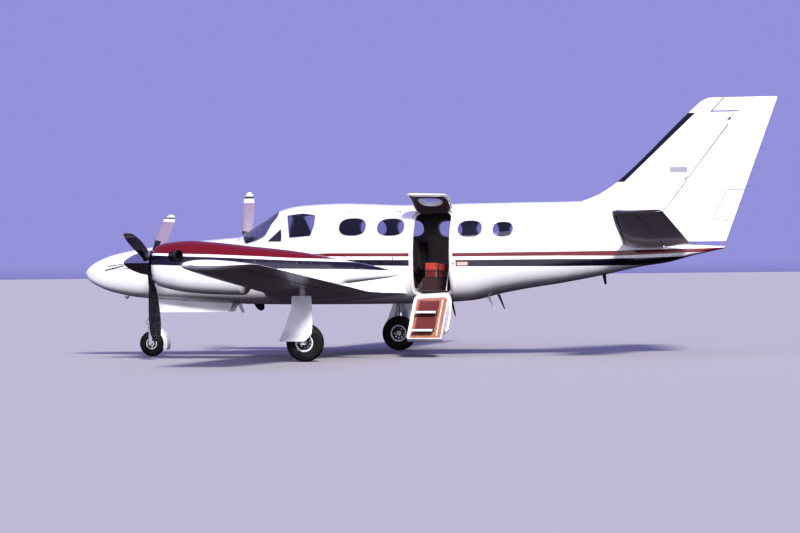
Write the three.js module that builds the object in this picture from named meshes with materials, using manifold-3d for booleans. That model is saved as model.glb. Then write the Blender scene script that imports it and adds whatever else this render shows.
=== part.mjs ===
// A twin turboprop aircraft standing on its gear, with its two-piece cabin door open.
// Stations run aft from the nose tip along x, y is positive to starboard, and z is the
// height over the ground, in millimetres. The last lines centre the group on its own box.
import * as THREE from 'three';
import { mergeVertices } from 'three/addons/utils/BufferGeometryUtils.js';
import Module from 'manifold-3d';

const wasm = await Module();
wasm.setup();

const SIDES = { left: -1, right: 1 };
const ORIGIN_STATION = 5465;
const SEAT_GAP = 0.3;
const PIN_GAP = 0.4;
const RUN_GAP = 6;

// Fuselage
const PIN_RADIUS = 8;
const NOSE_BULKHEAD = 2250;
const AFT_BULKHEAD = 7150;
const SHELL_SECTIONS = { forward: [2250, 4050], centre: [4050, 5440], door: [5440, 6110], aft: [6110, 7150] };
const CABIN_WALL = 50;
const WIDEST_AT = 0.47;
const ROOF_POWER = 2.3;
const BELLY_POWER = 3;
const FUSELAGE = [
  // station, top, bottom, half width
  [4, 1325, 1292, 16],
  [60, 1392, 1215, 75],
  [180, 1476, 1128, 142],
  [480, 1592, 1010, 252],
  [1000, 1690, 915, 385],
  [1900, 1795, 850, 530],
  [2250, 1822, 828, 575],
  [2590, 1850, 815, 610],
  [2720, 1930, 810, 630],
  [3060, 2142, 803, 662],
  [3240, 2248, 800, 680],
  [3560, 2318, 797, 705],
  [4200, 2345, 795, 728],
  [5300, 2306, 800, 730],
  [6200, 2318, 838, 705],
  [6700, 2320, 945, 655],
  [7150, 2322, 1025, 602],
  [7600, 2322, 1090, 540],
  [7950, 2325, 1150, 482],
  [8300, 2255, 1215, 420],
  [8620, 2020, 1285, 350],
  [8880, 1674, 1336, 292],
  [9250, 1664, 1390, 225],
  [9640, 1650, 1490, 145],
  [10120, 1622, 1592, 16],
];

// Cabin doors, on the port side
const DOOR_FRONT = 5470;
const DOOR_REAR = 6080;
const DOOR_SILL = 940;
const DOOR_HEAD = 2200;
const DOOR_SPLIT = 1600;
const DOOR_CORNER = 90;
const UPPER_DOOR_OPEN = 86;
const AIRSTAIR_OPEN = 140;
const STEP_DEPTH = 190;

// Windows: centre station, height, length, depth
const OVAL_LEFT_FORWARD = [[4540, 1972, 430, 275], [5140, 1962, 430, 270]];
const OVAL_LEFT_AFT = [[6365, 1925, 370, 250], [6865, 1912, 310, 225]];
const OVAL_DOOR = [[5775, 1940, 380, 260]];
const OVAL_RIGHT = [...OVAL_LEFT_FORWARD, ...OVAL_DOOR, ...OVAL_LEFT_AFT];
// Flight deck panes as station and height on the skin
const SIDE_PANE = [
  [3550, 1825], [3890, 1840], [3935, 2000], [3925, 2165], [3740, 2205], [3520, 2170],
];
const QUARTER_PANE = [[3185, 1765], [3425, 1760], [3425, 1860], [3400, 1965]];
// Windscreen pane as station and distance from the centreline
const SCREEN_PANE = [
  [2655, 30], [2880, 26], [3150, 30], [3270, 230], [3300, 420],
  [3160, 598], [2985, 585], [2800, 545], [2690, 300],
];
const GLASS_INSET = 5;
const SCREEN_GLASS = 16;
const LINER = 8;

// Wing
const WING_TE = 4900;
const DIHEDRAL = 0.0755;
const WING_Z0 = 915;
const WING_THICKNESS = 0.14;
const WING = [
  // distance out, leading edge station, trailing edge station
  [300, 3080, 5420],
  [760, 3180, 5330],
  [900, 3220, 5060],
  [1180, 3290, WING_TE],
  [1980, 3455, WING_TE],
  [2750, 3505, WING_TE],
  [6480, 3788, WING_TE],
  [6640, 3830, WING_TE - 8],
  [6725, 3990, WING_TE - 60],
];
const FLAP_HINGE = 4590;
const AILERON_HINGE = 4610;
const FLAP_BAYS = { inboard: [1190, 2030], outboard: [2620, 4560] };
const AILERON_BAY = [4620, 6420];

// Tail
const TAILPLANE_SLOPE = 0.18;
const TAILPLANE_Z0 = 1612;
const TAILPLANE_THICKNESS = 0.1;
const ELEVATOR_HINGE = 9280;
const TAILPLANE = [
  // distance out, leading edge station, trailing edge station
  [60, 8605, 9650],
  [2660, 8905, 9645],
  [2830, 8945, 9640],
  [2900, 9040, 9610],
];
const ELEVATOR_BAY = [250, 2790];
const ELEVATOR_CUTOUT = 400;
// The tip's cut widens aft, because the elevator moves outward as it turns on its sloping hinge
const TIP_FLARE = 0.06;
const FIN = [
  // height, leading edge station, trailing edge station, thickness over chord
  [1700, 7590, 10141, 0.06],
  [2600, 8500, 10473, 0.075],
  [3560, 9525, 10827, 0.085],
  [3700, 9680, 10878, 0.085],
  [3800, 9800, 10915, 0.075],
  [3840, 9900, 10926, 0.05],
];
const DORSAL = [
  [7780, 2250], [7950, 2330], [8200, 2412], [8380, 2510], [8520, 2640], [8760, 2640], [8760, 2250],
];
const RUDDER_HINGE_LOW = [8920, 1720];
const RUDDER_HINGE_HIGH = [10260, 3480];

// Engines
const NACELLE_Y = 2320;
const SHAFT_Z = 1460;
const FIREWALL = 3330;
const COWL_WALL = 22;
const NACELLE = [
  // station, top, bottom, half width
  [1945, 1612, 1300, 150],
  [1975, 1672, 1175, 205],
  [2050, 1726, 1112, 262],
  [2200, 1760, 1068, 305],
  [2500, 1780, 1015, 332],
  [2900, 1752, 985, 335],
  [3340, 1702, 972, 325],
  [3420, 1692, 1060, 322],
  [3900, 1640, 1065, 292],
  [4350, 1575, 1080, 250],
  [4770, 1490, 1115, 200],
  [5200, 1410, 1165, 130],
  [5500, 1335, 1205, 72],
  [5690, 1272, 1238, 16],
];
const PROP_RADIUS = 1180;
const PROP_STATION = 1875;
const SPINNER_TIP = 1470;
const SPINNER_BACK = 1932;
const SPINNER_RADIUS = 190;
// Radius and distance from the tip
const SPINNER_DOME = [[0, 0], [30, 8], [76, 52], [124, 150], [168, 300]];
const PROP_CLOCK = { left: 52, right: 13 };
// The blades stand this far aft of the line they turn on for pitch
const BLADE_SET_BACK = 35;
const BLADE = [
  // distance from the shaft, chord, thickness, twist in degrees
  [190, 78, 68, 0],
  [300, 118, 44, 24],
  [520, 172, 26, 16],
  [820, 196, 17, 8],
  [1060, 170, 12, 2],
  [1150, 128, 9, 0],
  [PROP_RADIUS, 60, 6, 0],
];

// Landing gear
const MAIN_AXLE = [4390, 2734, 280];
const MAIN_TYRE = { radius: 280, width: 165, rim: 128 };
const NOSE_AXLE = [1100, 0, 200];
const NOSE_TYRE = { radius: 200, width: 135, rim: 82 };
const AXLE_RADIUS = 22;
const WHEEL_SEGMENTS = 22;
const HUB_BOSS = 38;
const BEAD_SHARE = 0.72;
const LEG_DOOR_INNER = 2926;
const LEG_Y = 2868;
const LEG_RADIUS = 46;
const NOSE_LEG_JOINT = 640;

const aircraft = new THREE.Group();

// Finishes, from the paint and metal that each piece shows
const FINISH = {
  white: { color: 0xf2f2f0, roughness: 0.28, metalness: 0 },
  crimson: { color: 0xa30f1e, roughness: 0.3, metalness: 0 },
  glass: { color: 0x8fa0ac, roughness: 0.08, metalness: 0, transparent: true, opacity: 0.4 },
  trim: { color: 0x3a3638, roughness: 0.8, metalness: 0 },
  carpet: { color: 0x4a2224, roughness: 0.95, metalness: 0 },
  leather: { color: 0xb5532a, roughness: 0.6, metalness: 0 },
  steel: { color: 0x9a9ca0, roughness: 0.4, metalness: 0.9 },
  polished: { color: 0xd8dade, roughness: 0.08, metalness: 1 },
  blade: { color: 0x17181a, roughness: 0.5, metalness: 0.2 },
  engine: { color: 0x4c4a48, roughness: 0.6, metalness: 0.7 },
  rubber: { color: 0x161616, roughness: 0.9, metalness: 0 },
};

function add(name, geometry, finish) {
  const mesh = new THREE.Mesh(geometry, new THREE.MeshStandardMaterial(FINISH[finish]));
  mesh.name = name;
  aircraft.add(mesh);
}

// Solids

function point(x, y, z) {
  return new THREE.Vector3(x, y, z);
}

function signedVolume(positions, triangles) {
  let sum = 0;
  const corner = [point(), point(), point()];
  for (let i = 0; i < triangles.length; i += 3) {
    corner.forEach((c, k) => c.fromArray(positions, 3 * triangles[i + k]));
    sum += corner[0].dot(corner[1].cross(corner[2])) / 6;
  }
  return sum;
}

// A closed body through rings of equally many points, with a fan over each end
function loft(rings) {
  const count = rings[0].length;
  const middle = (ring) => ring.reduce((sum, p) => sum.add(p), point(0, 0, 0)).divideScalar(count);
  const points = [...rings.flat(), middle(rings[0]), middle(rings[rings.length - 1])];
  const last = (rings.length - 1) * count;
  const triangles = [];
  for (let j = 0; j < count; j++) {
    const next = (j + 1) % count;
    for (let base = 0; base < last; base += count) {
      triangles.push(base + j, base + next, base + count + next);
      triangles.push(base + j, base + count + next, base + count + j);
    }
    triangles.push(points.length - 2, next, j);
    triangles.push(points.length - 1, last + j, last + next);
  }
  const positions = new Float32Array(points.flatMap((p) => [p.x, p.y, p.z]));
  if (signedVolume(positions, triangles) < 0) triangles.reverse();
  const geometry = new THREE.BufferGeometry();
  geometry.setAttribute('position', new THREE.BufferAttribute(positions, 3));
  geometry.setIndex(triangles);
  return geometry;
}

function solid(geometry) {
  const plain = geometry.clone();
  plain.deleteAttribute('normal');
  plain.deleteAttribute('uv');
  const merged = mergeVertices(plain, 0.001);
  const index = merged.index.array;
  const kept = [];
  for (let i = 0; i < index.length; i += 3) {
    const [a, b, c] = [index[i], index[i + 1], index[i + 2]];
    if (a !== b && b !== c && c !== a) kept.push(a, b, c);
  }
  const vertProperties = merged.attributes.position.array;
  return new wasm.Manifold(new wasm.Mesh({ numProp: 3, vertProperties, triVerts: new Uint32Array(kept) }));
}

function geometryOf(manifold) {
  const mesh = manifold.getMesh();
  const geometry = new THREE.BufferGeometry();
  geometry.setAttribute('position', new THREE.BufferAttribute(new Float32Array(mesh.vertProperties), 3));
  geometry.setIndex(new THREE.BufferAttribute(new Uint32Array(mesh.triVerts), 1));
  geometry.computeVertexNormals();
  return geometry;
}

function place(name, manifold, finish) {
  add(name, geometryOf(manifold), finish);
}

// A straight bar of round section, or a cone, between two points
function rod(from, to, radius, endRadius = radius, count = 12) {
  const along = to.clone().sub(from).normalize();
  const across = Math.abs(along.z) < 0.9 ? point(0, 0, 1) : point(1, 0, 0);
  const u = across.clone().cross(along).normalize();
  const v = along.clone().cross(u);
  const ring = (centre, r) => Array.from({ length: count }, (_, i) => {
    const a = (2 * Math.PI * i) / count;
    return centre.clone().addScaledVector(u, r * Math.cos(a)).addScaledVector(v, r * Math.sin(a));
  });
  return solid(loft([ring(from, radius), ring(to, endRadius)]));
}

// A profile of radius and length turned about the y axis; its flats lie at the named radius
function turned(profile, segments, move) {
  const reach = 1 / Math.cos(Math.PI / segments);
  const points = profile.map(([r, h]) => new THREE.Vector2(r * reach, h));
  const geometry = new THREE.LatheGeometry(points, segments, Math.PI / segments);
  return solid(move(geometry));
}

// An outline carried back and ahead along a direction
function prism(outline, direction, back, ahead) {
  const move = (distance) => outline.map((p) => p.clone().addScaledVector(direction, distance));
  return solid(loft([move(-back), move(ahead)]));
}

function block(x1, x2, y1, y2, z1, z2) {
  const box = new THREE.BoxGeometry(x2 - x1, Math.abs(y2 - y1), z2 - z1);
  box.translate((x1 + x2) / 2, (y1 + y2) / 2, (z1 + z2) / 2);
  return solid(box);
}

// A flat outline of x and z, made thick between two values of y; corners of any kind
function plate(outline, y1, y2) {
  const shape = new THREE.Shape(outline.map(([x, z]) => new THREE.Vector2(x, z)));
  const geometry = new THREE.ExtrudeGeometry(shape, { depth: Math.abs(y2 - y1), bevelEnabled: false });
  geometry.rotateX(Math.PI / 2);
  geometry.translate(0, Math.max(y1, y2), 0);
  return solid(geometry);
}

function union(...solids) {
  return solids.reduce((whole, piece) => whole.add(piece));
}

// Smooth curve through one column of a table, with no overshoot between its rows
function curve(table, column) {
  const x = table.map((row) => row[0]);
  const y = table.map((row) => row[column]);
  const slope = x.slice(1).map((_, i) => (y[i + 1] - y[i]) / (x[i + 1] - x[i]));
  const tangent = x.map((_, i) => {
    if (i === 0) return slope[0];
    if (i === x.length - 1) return slope[i - 1];
    const [a, b] = [slope[i - 1], slope[i]];
    return a * b > 0 ? (2 * a * b) / (a + b) : 0;
  });
  return (s) => {
    let i = 0;
    while (i < x.length - 2 && s > x[i + 1]) i += 1;
    const h = x[i + 1] - x[i];
    const t = Math.min(Math.max((s - x[i]) / h, 0), 1);
    const rise = y[i] + t * t * (3 - 2 * t) * (y[i + 1] - y[i]);
    return rise + h * t * (1 - t) * ((1 - t) * tangent[i] - t * tangent[i + 1]);
  };
}

// One ring of a body that is round above and boxier below its widest line
function bodyRing(station, y, top, bottom, half, powers, count) {
  const widest = bottom + WIDEST_AT * (top - bottom);
  return Array.from({ length: count }, (_, i) => {
    const a = (2 * Math.PI * i) / count;
    const [c, s] = [Math.cos(a), Math.sin(a)];
    const power = 2 / (s > 0 ? powers[0] : powers[1]);
    const across = Math.sign(c) * Math.abs(c) ** power * half;
    const up = Math.sign(s) * Math.abs(s) ** power * (s > 0 ? top - widest : widest - bottom);
    return point(station, y + across, widest + up);
  });
}

function bodyLoft(table, stations, y, inset, powers, count) {
  const [top, bottom, half] = [1, 2, 3].map((column) => curve(table, column));
  return solid(loft(stations.map((s) => (
    bodyRing(s, y, top(s) - inset, bottom(s) + inset, Math.max(half(s) - inset, 4), powers, count)
  ))));
}

// Fuselage shape

const POWERS = [ROOF_POWER, BELLY_POWER];
const topAt = curve(FUSELAGE, 1);
const bottomAt = curve(FUSELAGE, 2);
const halfAt = curve(FUSELAGE, 3);
const RING = 28;

function stationsBetween(from, to) {
  return [from, ...FUSELAGE.map((row) => row[0]).filter((s) => s > from + 1 && s < to - 1), to];
}

function fuselage(from, to, inset = 0) {
  return bodyLoft(FUSELAGE, stationsBetween(from, to), 0, inset, POWERS, RING);
}

const widestAt = (s) => bottomAt(s) + WIDEST_AT * (topAt(s) - bottomAt(s));

// Half width of the skin at a height
function skinHalf(s, z) {
  const above = z > widestAt(s);
  const reach = above ? topAt(s) - widestAt(s) : widestAt(s) - bottomAt(s);
  const power = above ? ROOF_POWER : BELLY_POWER;
  return halfAt(s) * (1 - (Math.abs(z - widestAt(s)) / reach) ** power) ** (1 / power);
}

// Height of the upper skin at a distance from the centreline
function skinTop(s, y) {
  const rise = (1 - (Math.abs(y) / halfAt(s)) ** ROOF_POWER) ** (1 / ROOF_POWER);
  return widestAt(s) + (topAt(s) - widestAt(s)) * rise;
}

function shrink(outline, gap) {
  const centre = outline.reduce((sum, p) => sum.add(p), point(0, 0, 0)).divideScalar(outline.length);
  return outline.map((p) => {
    const reach = p.clone().sub(centre);
    return centre.clone().addScaledVector(reach, 1 - gap / reach.length());
  });
}

function ovalOutline([station, height, length, depth], side) {
  const count = 14;
  const power = 2 / 2.5;
  return Array.from({ length: count }, (_, i) => {
    const a = (2 * Math.PI * i) / count;
    const x = Math.sign(Math.cos(a)) * Math.abs(Math.cos(a)) ** power * (length / 2);
    const z = Math.sign(Math.sin(a)) * Math.abs(Math.sin(a)) ** power * (depth / 2);
    return point(station + x, side * skinHalf(station, height), height + z);
  });
}

function roundedOutline(x1, x2, z1, z2, radius, y) {
  const outline = [];
  const [left, right, low, high] = [x1 + radius, x2 - radius, z1 + radius, z2 - radius];
  const corners = [[right, high, 0], [left, high, 90], [left, low, 180], [right, low, 270]];
  for (const [x, z, start] of corners) {
    for (let i = 0; i <= 3; i++) {
      const a = THREE.MathUtils.degToRad(start + 30 * i);
      outline.push(point(x + radius * Math.cos(a), y, z + radius * Math.sin(a)));
    }
  }
  return outline;
}

const sideways = (side) => point(0, side, 0);
const SIDE_BACK = 420;
const SIDE_AHEAD = 330;
const ovalCutter = (oval, side, gap = 0) => (
  prism(shrink(ovalOutline(oval, side), gap), sideways(side), SIDE_AHEAD, SIDE_AHEAD)
);

function paneOutline(pane, side) {
  return pane.map(([s, z]) => point(s, side * skinHalf(s, z), z));
}
const PANE_REACH = 200;
const paneCutter = (pane, side, gap = 0) => (
  prism(shrink(paneOutline(pane, side), gap), sideways(side), PANE_REACH, PANE_REACH)
);

function screenCutter(side, gap = 0) {
  const outline = SCREEN_PANE.map(([s, y]) => point(s, side * y, skinTop(s, y)));
  return prism(shrink(outline, gap), point(-0.5, 0.45 * side, 0.74).normalize(), 190, 220);
}

function doorCutter(low, high, gap, radius) {
  const outline = roundedOutline(DOOR_FRONT + gap, DOOR_REAR - gap, low + gap, high - gap, radius, -700);
  return prism(outline, sideways(SIDES.left), SIDE_BACK, SIDE_AHEAD);
}

// Nose, cabin shell and tail cone

const cabinSpan = [NOSE_BULKHEAD + SEAT_GAP, AFT_BULKHEAD];
const cabinInner = fuselage(cabinSpan[0] - 20, cabinSpan[1] + 20, CABIN_WALL);
const cabinWall = fuselage(...cabinSpan).subtract(cabinInner);

const NOSE_WELL = { front: 930, rear: 2180, half: 150, top: 1060 };
const noseWell = block(NOSE_WELL.front, NOSE_WELL.rear, -NOSE_WELL.half, NOSE_WELL.half, 700, NOSE_WELL.top);
place('nose_section', fuselage(FUSELAGE[0][0], NOSE_BULKHEAD).subtract(noseWell), 'white');

const doorStation = (DOOR_FRONT + DOOR_REAR) / 2;
const UPPER_HINGE = [-4 - skinHalf(doorStation, DOOR_HEAD), DOOR_HEAD + 6];
const AIRSTAIR_HINGE = [-2 - skinHalf(DOOR_FRONT + RUN_GAP, DOOR_SILL), DOOR_SILL - 4];
const KNUCKLE_RADIUS = 12;
const KNUCKLES = { frame: [[5600, 5670], [5860, 5930]], leaf: [[5670 + PIN_GAP, 5860 - PIN_GAP]] };

// Knuckles of one leaf on the hinge line, and the room that they need in the other leaf
function knuckles([y, z], spans, radius, spare = 0) {
  return union(...spans.map(([x1, x2]) => rod(point(x1 - spare, y, z), point(x2 + spare, y, z), radius)));
}
const knuckleRoom = (hinge, spans) => knuckles(hinge, spans, KNUCKLE_RADIUS + 2, PIN_GAP / 2);
// Arms that carry the knuckles out from the frame, and from the edges of the leaves
const arms = (spans, y1, y2, z1, z2) => spans.map(([x1, x2]) => block(x1, x2, y1, y2, z1, z2));
const armInner = 30 - skinHalf(doorStation, DOOR_SILL);
const [upperY, stairY] = [UPPER_HINGE[0], AIRSTAIR_HINGE[0]];
const frameArms = [
  ...arms(KNUCKLES.frame, stairY, armInner, DOOR_SILL - 14, DOOR_SILL - 1),
  ...arms(KNUCKLES.frame, upperY, upperY + 36, DOOR_HEAD + 1, DOOR_HEAD + 12),
];
const airstairArms = [
  ...arms(KNUCKLES.leaf, stairY - 12, stairY + 8, DOOR_SILL - 4, DOOR_SILL + 18),
  ...arms(KNUCKLES.leaf, stairY, armInner, DOOR_SILL + RUN_GAP, DOOR_SILL + 18),
];
const upperArms = arms(KNUCKLES.leaf, upperY - 10, upperY + 8, DOOR_HEAD - 22, DOOR_HEAD + 6);

let cabinShell = cabinWall.subtract(doorCutter(DOOR_SILL, DOOR_HEAD, 0, DOOR_CORNER));
for (const side of Object.values(SIDES)) {
  cabinShell = cabinShell.subtract(screenCutter(side));
  cabinShell = cabinShell.subtract(paneCutter(SIDE_PANE, side)).subtract(paneCutter(QUARTER_PANE, side));
}
for (const oval of [...OVAL_LEFT_FORWARD, ...OVAL_LEFT_AFT]) {
  cabinShell = cabinShell.subtract(ovalCutter(oval, SIDES.left));
}
for (const oval of OVAL_RIGHT) cabinShell = cabinShell.subtract(ovalCutter(oval, SIDES.right));
for (const hinge of [UPPER_HINGE, AIRSTAIR_HINGE]) {
  cabinShell = cabinShell.subtract(knuckleRoom(hinge, KNUCKLES.leaf));
  cabinShell = cabinShell.add(knuckles(hinge, KNUCKLES.frame, KNUCKLE_RADIUS));
}
cabinShell = union(cabinShell, ...frameArms);
for (const [name, [front, rear]] of Object.entries(SHELL_SECTIONS)) {
  const span = block(front + SEAT_GAP / 2, rear - SEAT_GAP / 2, -900, 900, 600, 2600);
  place(`cabin_shell_${name}`, cabinShell.intersect(span), 'white');
}

const tailWall = fuselage(AFT_BULKHEAD + SEAT_GAP, FUSELAGE.at(-1)[0]);
const TAIL_HOLLOW_END = 8880;
const TAIL_WALL = 16;
const tailInner = fuselage(AFT_BULKHEAD - 20, TAIL_HOLLOW_END, TAIL_WALL);
const [hingeRun, hingeRise] = [0, 1].map((i) => RUDDER_HINGE_HIGH[i] - RUDDER_HINGE_LOW[i]);
const hingeSlope = hingeRun / hingeRise;
const hingeX = (z) => RUDDER_HINGE_LOW[0] + (z - RUDDER_HINGE_LOW[1]) * hingeSlope;
const onHinge = (z) => point(hingeX(z), 0, z);
const RUDDER_LOW = 1700;
const RUDDER_PIN_END = 1690;
const rudderPost = rod(onHinge(1650), onHinge(RUDDER_PIN_END - PIN_GAP), PIN_RADIUS, PIN_RADIUS, 8);
place('tail_section', tailWall.subtract(tailInner).add(rudderPost), 'white');

// Glass

for (const [name, side] of Object.entries(SIDES)) {
  const inside = fuselage(2200, 7200, GLASS_INSET + SCREEN_GLASS);
  const glassLayer = fuselage(...cabinSpan, GLASS_INSET).subtract(inside);
  place(`windscreen_${name}`, glassLayer.intersect(screenCutter(side, 0.5)), 'glass');
}

const linerOuter = CABIN_WALL + SEAT_GAP;
const linerLayer = fuselage(2300, 7145, linerOuter).subtract(fuselage(2290, 7160, linerOuter + LINER));
const glassBand = fuselage(2300, 7145, GLASS_INSET).subtract(fuselage(2290, 7160, linerOuter + LINER));

function glazing(panes, side, x1, x2, z1, z2) {
  const y = side * 450;
  const strip = linerLayer.intersect(block(x1, x2, y - 330, y + 330, z1, z2));
  return union(strip, ...panes.map((cutter) => glassBand.intersect(cutter)));
}

for (const [name, side] of Object.entries(SIDES)) {
  const panes = [paneCutter(SIDE_PANE, side, 0.5), paneCutter(QUARTER_PANE, side, 0.5)];
  place(`cockpit_windows_${name}`, glazing(panes, side, 3150, 3980, 1735, 2225), 'glass');
}
const ovals = (list, side) => list.map((oval) => ovalCutter(oval, side, 0.5));
const CABIN_PANES = [
  // name, ovals, side, station range, height range
  ['left_forward', OVAL_LEFT_FORWARD, SIDES.left, [4270, 5410], [1790, 2130]],
  ['left_aft', OVAL_LEFT_AFT, SIDES.left, [6140, 7060], [1770, 2080]],
  ['right', OVAL_RIGHT, SIDES.right, [4270, 7060], [1770, 2130]],
];
for (const [name, list, side, stations, heights] of CABIN_PANES) {
  place(`cabin_windows_${name}`, glazing(ovals(list, side), side, ...stations, ...heights), 'glass');
}

// Inside the cabin

const FLOOR_TOP = 1000;
const FLOOR_THICKNESS = 30;
const roomInner = fuselage(cabinSpan[0] - 20, cabinSpan[1] + 20, linerOuter + 0.2);
const floor = roomInner.intersect(block(2262, 7138, -720, 720, FLOOR_TOP - FLOOR_THICKNESS, FLOOR_TOP));
place('cabin_floor', floor, 'carpet');

const bulkheadSlab = block(7100, 7140, -720, 720, FLOOR_TOP + SEAT_GAP, 2300);
place('aft_bulkhead', roomInner.intersect(bulkheadSlab), 'trim');

const panelRoom = fuselage(cabinSpan[0] - 20, cabinSpan[1] + 20, linerOuter + LINER + 0.4);
const panelPieces = union(
  block(2700, 3120, -640, 640, 1742, 1766),
  block(2960, 3040, -640, 640, 1330, 1750),
  block(2900, 3040, -110, 110, FLOOR_TOP + SEAT_GAP, 1400),
);
place('instrument_panel', panelRoom.intersect(panelPieces), 'trim');

// A seat of cushion, back and base on the floor, facing forward or aft
function seat(station, y, width, facing) {
  const half = width / 2;
  const box = (a, b, low, high, grow = 0) => {
    const [x1, x2] = [station + facing * a, station + facing * b].sort((p, q) => p - q);
    return block(x1, x2, y - half - grow, y + half + grow, low, high);
  };
  return union(
    box(60, 420, FLOOR_TOP + 20, 1240, -60),
    box(0, 490, 1235, 1370),
    box(-105, 8, 1290, 1900),
    box(-90, -20, 1895, 2010, -90),
  );
}
const SEAT_WIDTH = 440;
const rail = (x1, x2, y1, y2) => block(x1, x2, y1, y2, FLOOR_TOP + SEAT_GAP, FLOOR_TOP + 22);
const crew = [-1, 1].map((side) => seat(3880, side * 300, SEAT_WIDTH, -1));
place('crew_seats', union(...crew, rail(3480, 3840, -320, 320)), 'leather');
// Two seats that face each other on either side, and one more aft on the right
const SEATS = { left: [[4200, 1], [5330, -1]], right: [[4200, 1], [5330, -1], [6420, -1]] };
const CABIN_SEAT_Y = 330;
for (const [name, side] of Object.entries(SIDES)) {
  const row = SEATS[name].map(([station, facing]) => seat(station, side * CABIN_SEAT_Y, SEAT_WIDTH, facing));
  const seatRail = rail(4220, SEATS[name].at(-1)[0] - 20, side * 260, side * 400);
  place(`cabin_seats_${name}`, union(...row, seatRail).intersect(roomInner), 'leather');
}

// Cabin doors: each is its own part of the cabin wall, swung open on its hinge

function swung(manifold, hinge, degrees) {
  const geometry = geometryOf(manifold);
  geometry.translate(0, -hinge[0], -hinge[1]);
  geometry.rotateX(THREE.MathUtils.degToRad(degrees));
  geometry.translate(0, hinge[0], hinge[1]);
  return geometry;
}

// A leaf is an outer skin to the full outline, with a pan behind it that stands in from the edges
const LEAF_SKIN = 20;
const PAN_INSET = 32;
const LEAF_CORNER = DOOR_CORNER + 20;
const leafSkin = fuselage(5300, 6300).subtract(fuselage(5290, 6310, LEAF_SKIN));
function doorLeaf(low, high, panLow) {
  const pan = cabinWall.intersect(doorCutter(panLow, high, PAN_INSET, LEAF_CORNER));
  return leafSkin.intersect(doorCutter(low, high, RUN_GAP, LEAF_CORNER)).add(pan);
}

const upperDoorShape = doorLeaf(DOOR_SPLIT, DOOR_HEAD, DOOR_SPLIT);
const upperDoor = union(upperDoorShape.subtract(ovalCutter(OVAL_DOOR[0], SIDES.left)), ...upperArms);
const withKnuckles = (leaf, hinge) => (
  leaf.subtract(knuckleRoom(hinge, KNUCKLES.frame)).add(knuckles(hinge, KNUCKLES.leaf, KNUCKLE_RADIUS))
);
add('upper_door', swung(withKnuckles(upperDoor, UPPER_HINGE), UPPER_HINGE, -UPPER_DOOR_OPEN), 'white');
const doorPane = glazing(ovals(OVAL_DOOR, -1), -1, 5560, 5990, 1790, 2090);
add('upper_door_window', swung(doorPane, UPPER_HINGE, -UPPER_DOOR_OPEN), 'glass');

const airstairShape = doorLeaf(DOOR_SILL, DOOR_SPLIT, FLOOR_TOP - PAN_INSET + 12);
const openAngle = THREE.MathUtils.degToRad(AIRSTAIR_OPEN);
const stairInner = fuselage(5300, 6300, CABIN_WALL - 2);
const STEP_HEIGHTS = [1130, 1345];
const stairPieces = STEP_HEIGHTS.map((height) => {
  const y = -skinHalf(doorStation, height) + CABIN_WALL - 4;
  const outward = point(0, Math.cos(openAngle + Math.PI), -Math.sin(openAngle + Math.PI));
  const across = point(0, -outward.z, outward.y);
  const start = point(0, y, height);
  const corner = (u, v) => start.clone().addScaledVector(outward, u).addScaledVector(across, v);
  const section = [corner(-30, -14), corner(STEP_DEPTH, -14), corner(STEP_DEPTH, 14), corner(-30, 14)];
  const at = (x) => section.map((p) => point(x, p.y, p.z));
  return solid(loft([at(DOOR_FRONT + 34), at(DOOR_REAR - 34)])).intersect(stairInner);
});
const cheeks = [DOOR_FRONT + 34, DOOR_REAR - 62].map((x) => (
  plate([[x, 1030], [x + 28, 1030], [x + 28, 1560], [x, 1560]], -720, -470).intersect(stairInner)
    .subtract(fuselage(5300, 6300, CABIN_WALL + 75))
));
const stairs = union(withKnuckles(airstairShape, AIRSTAIR_HINGE), ...airstairArms, ...cheeks, ...stairPieces);
add('airstair', swung(stairs, AIRSTAIR_HINGE, AIRSTAIR_OPEN), 'white');

// Wing, tail surfaces and what is hinged to them

const AIRFOIL_STEPS = [0, 0.03, 0.11, 0.25, 0.42, 0.6, 0.76, 0.9, 1];

// Half thickness of a symmetrical aerofoil of unit chord
function airfoilHalf(t, thickness) {
  const rise = 0.2969 * Math.sqrt(t) - 0.126 * t - 0.3516 * t ** 2 + 0.2843 * t ** 3 - 0.1036 * t ** 4;
  return Math.max(5 * thickness * rise, 0.0022);
}

// Ring of an aerofoil whose flat direction is x and whose thickness lies along up
function airfoilRing(origin, chord, thickness, up, grow = 0) {
  const stretch = (t) => origin.x - grow + t * (chord + 2 * grow);
  const offset = (t) => airfoilHalf(t, thickness) * chord + grow;
  const at = (t, sign) => point(stretch(t), origin.y, origin.z).addScaledVector(up, sign * offset(t));
  const over = AIRFOIL_STEPS.map((t) => at(t, 1));
  const under = AIRFOIL_STEPS.slice().reverse().map((t) => at(t, -1));
  return [...over, ...under];
}

const wingZ = (y) => WING_Z0 + DIHEDRAL * y;
function wingSolid(side, grow = 0) {
  return solid(loft(WING.map(([y, front, rear]) => (
    airfoilRing(point(front, side * (y + grow), wingZ(y)), rear - front,
      WING_THICKNESS * (y > 6700 ? 0.45 : 1) * (y < 1000 ? 0.8 : 1), point(0, 0, 1), grow)
  ))));
}

const tailplaneZ = (y) => TAILPLANE_Z0 + TAILPLANE_SLOPE * y;
function tailplaneSolid(side) {
  return solid(loft(TAILPLANE.map(([y, front, rear]) => (
    airfoilRing(point(front, side * y, tailplaneZ(y)), rear - front,
      TAILPLANE_THICKNESS * (y > 2880 ? 0.5 : 1), point(0, 0, 1))
  ))));
}

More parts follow.
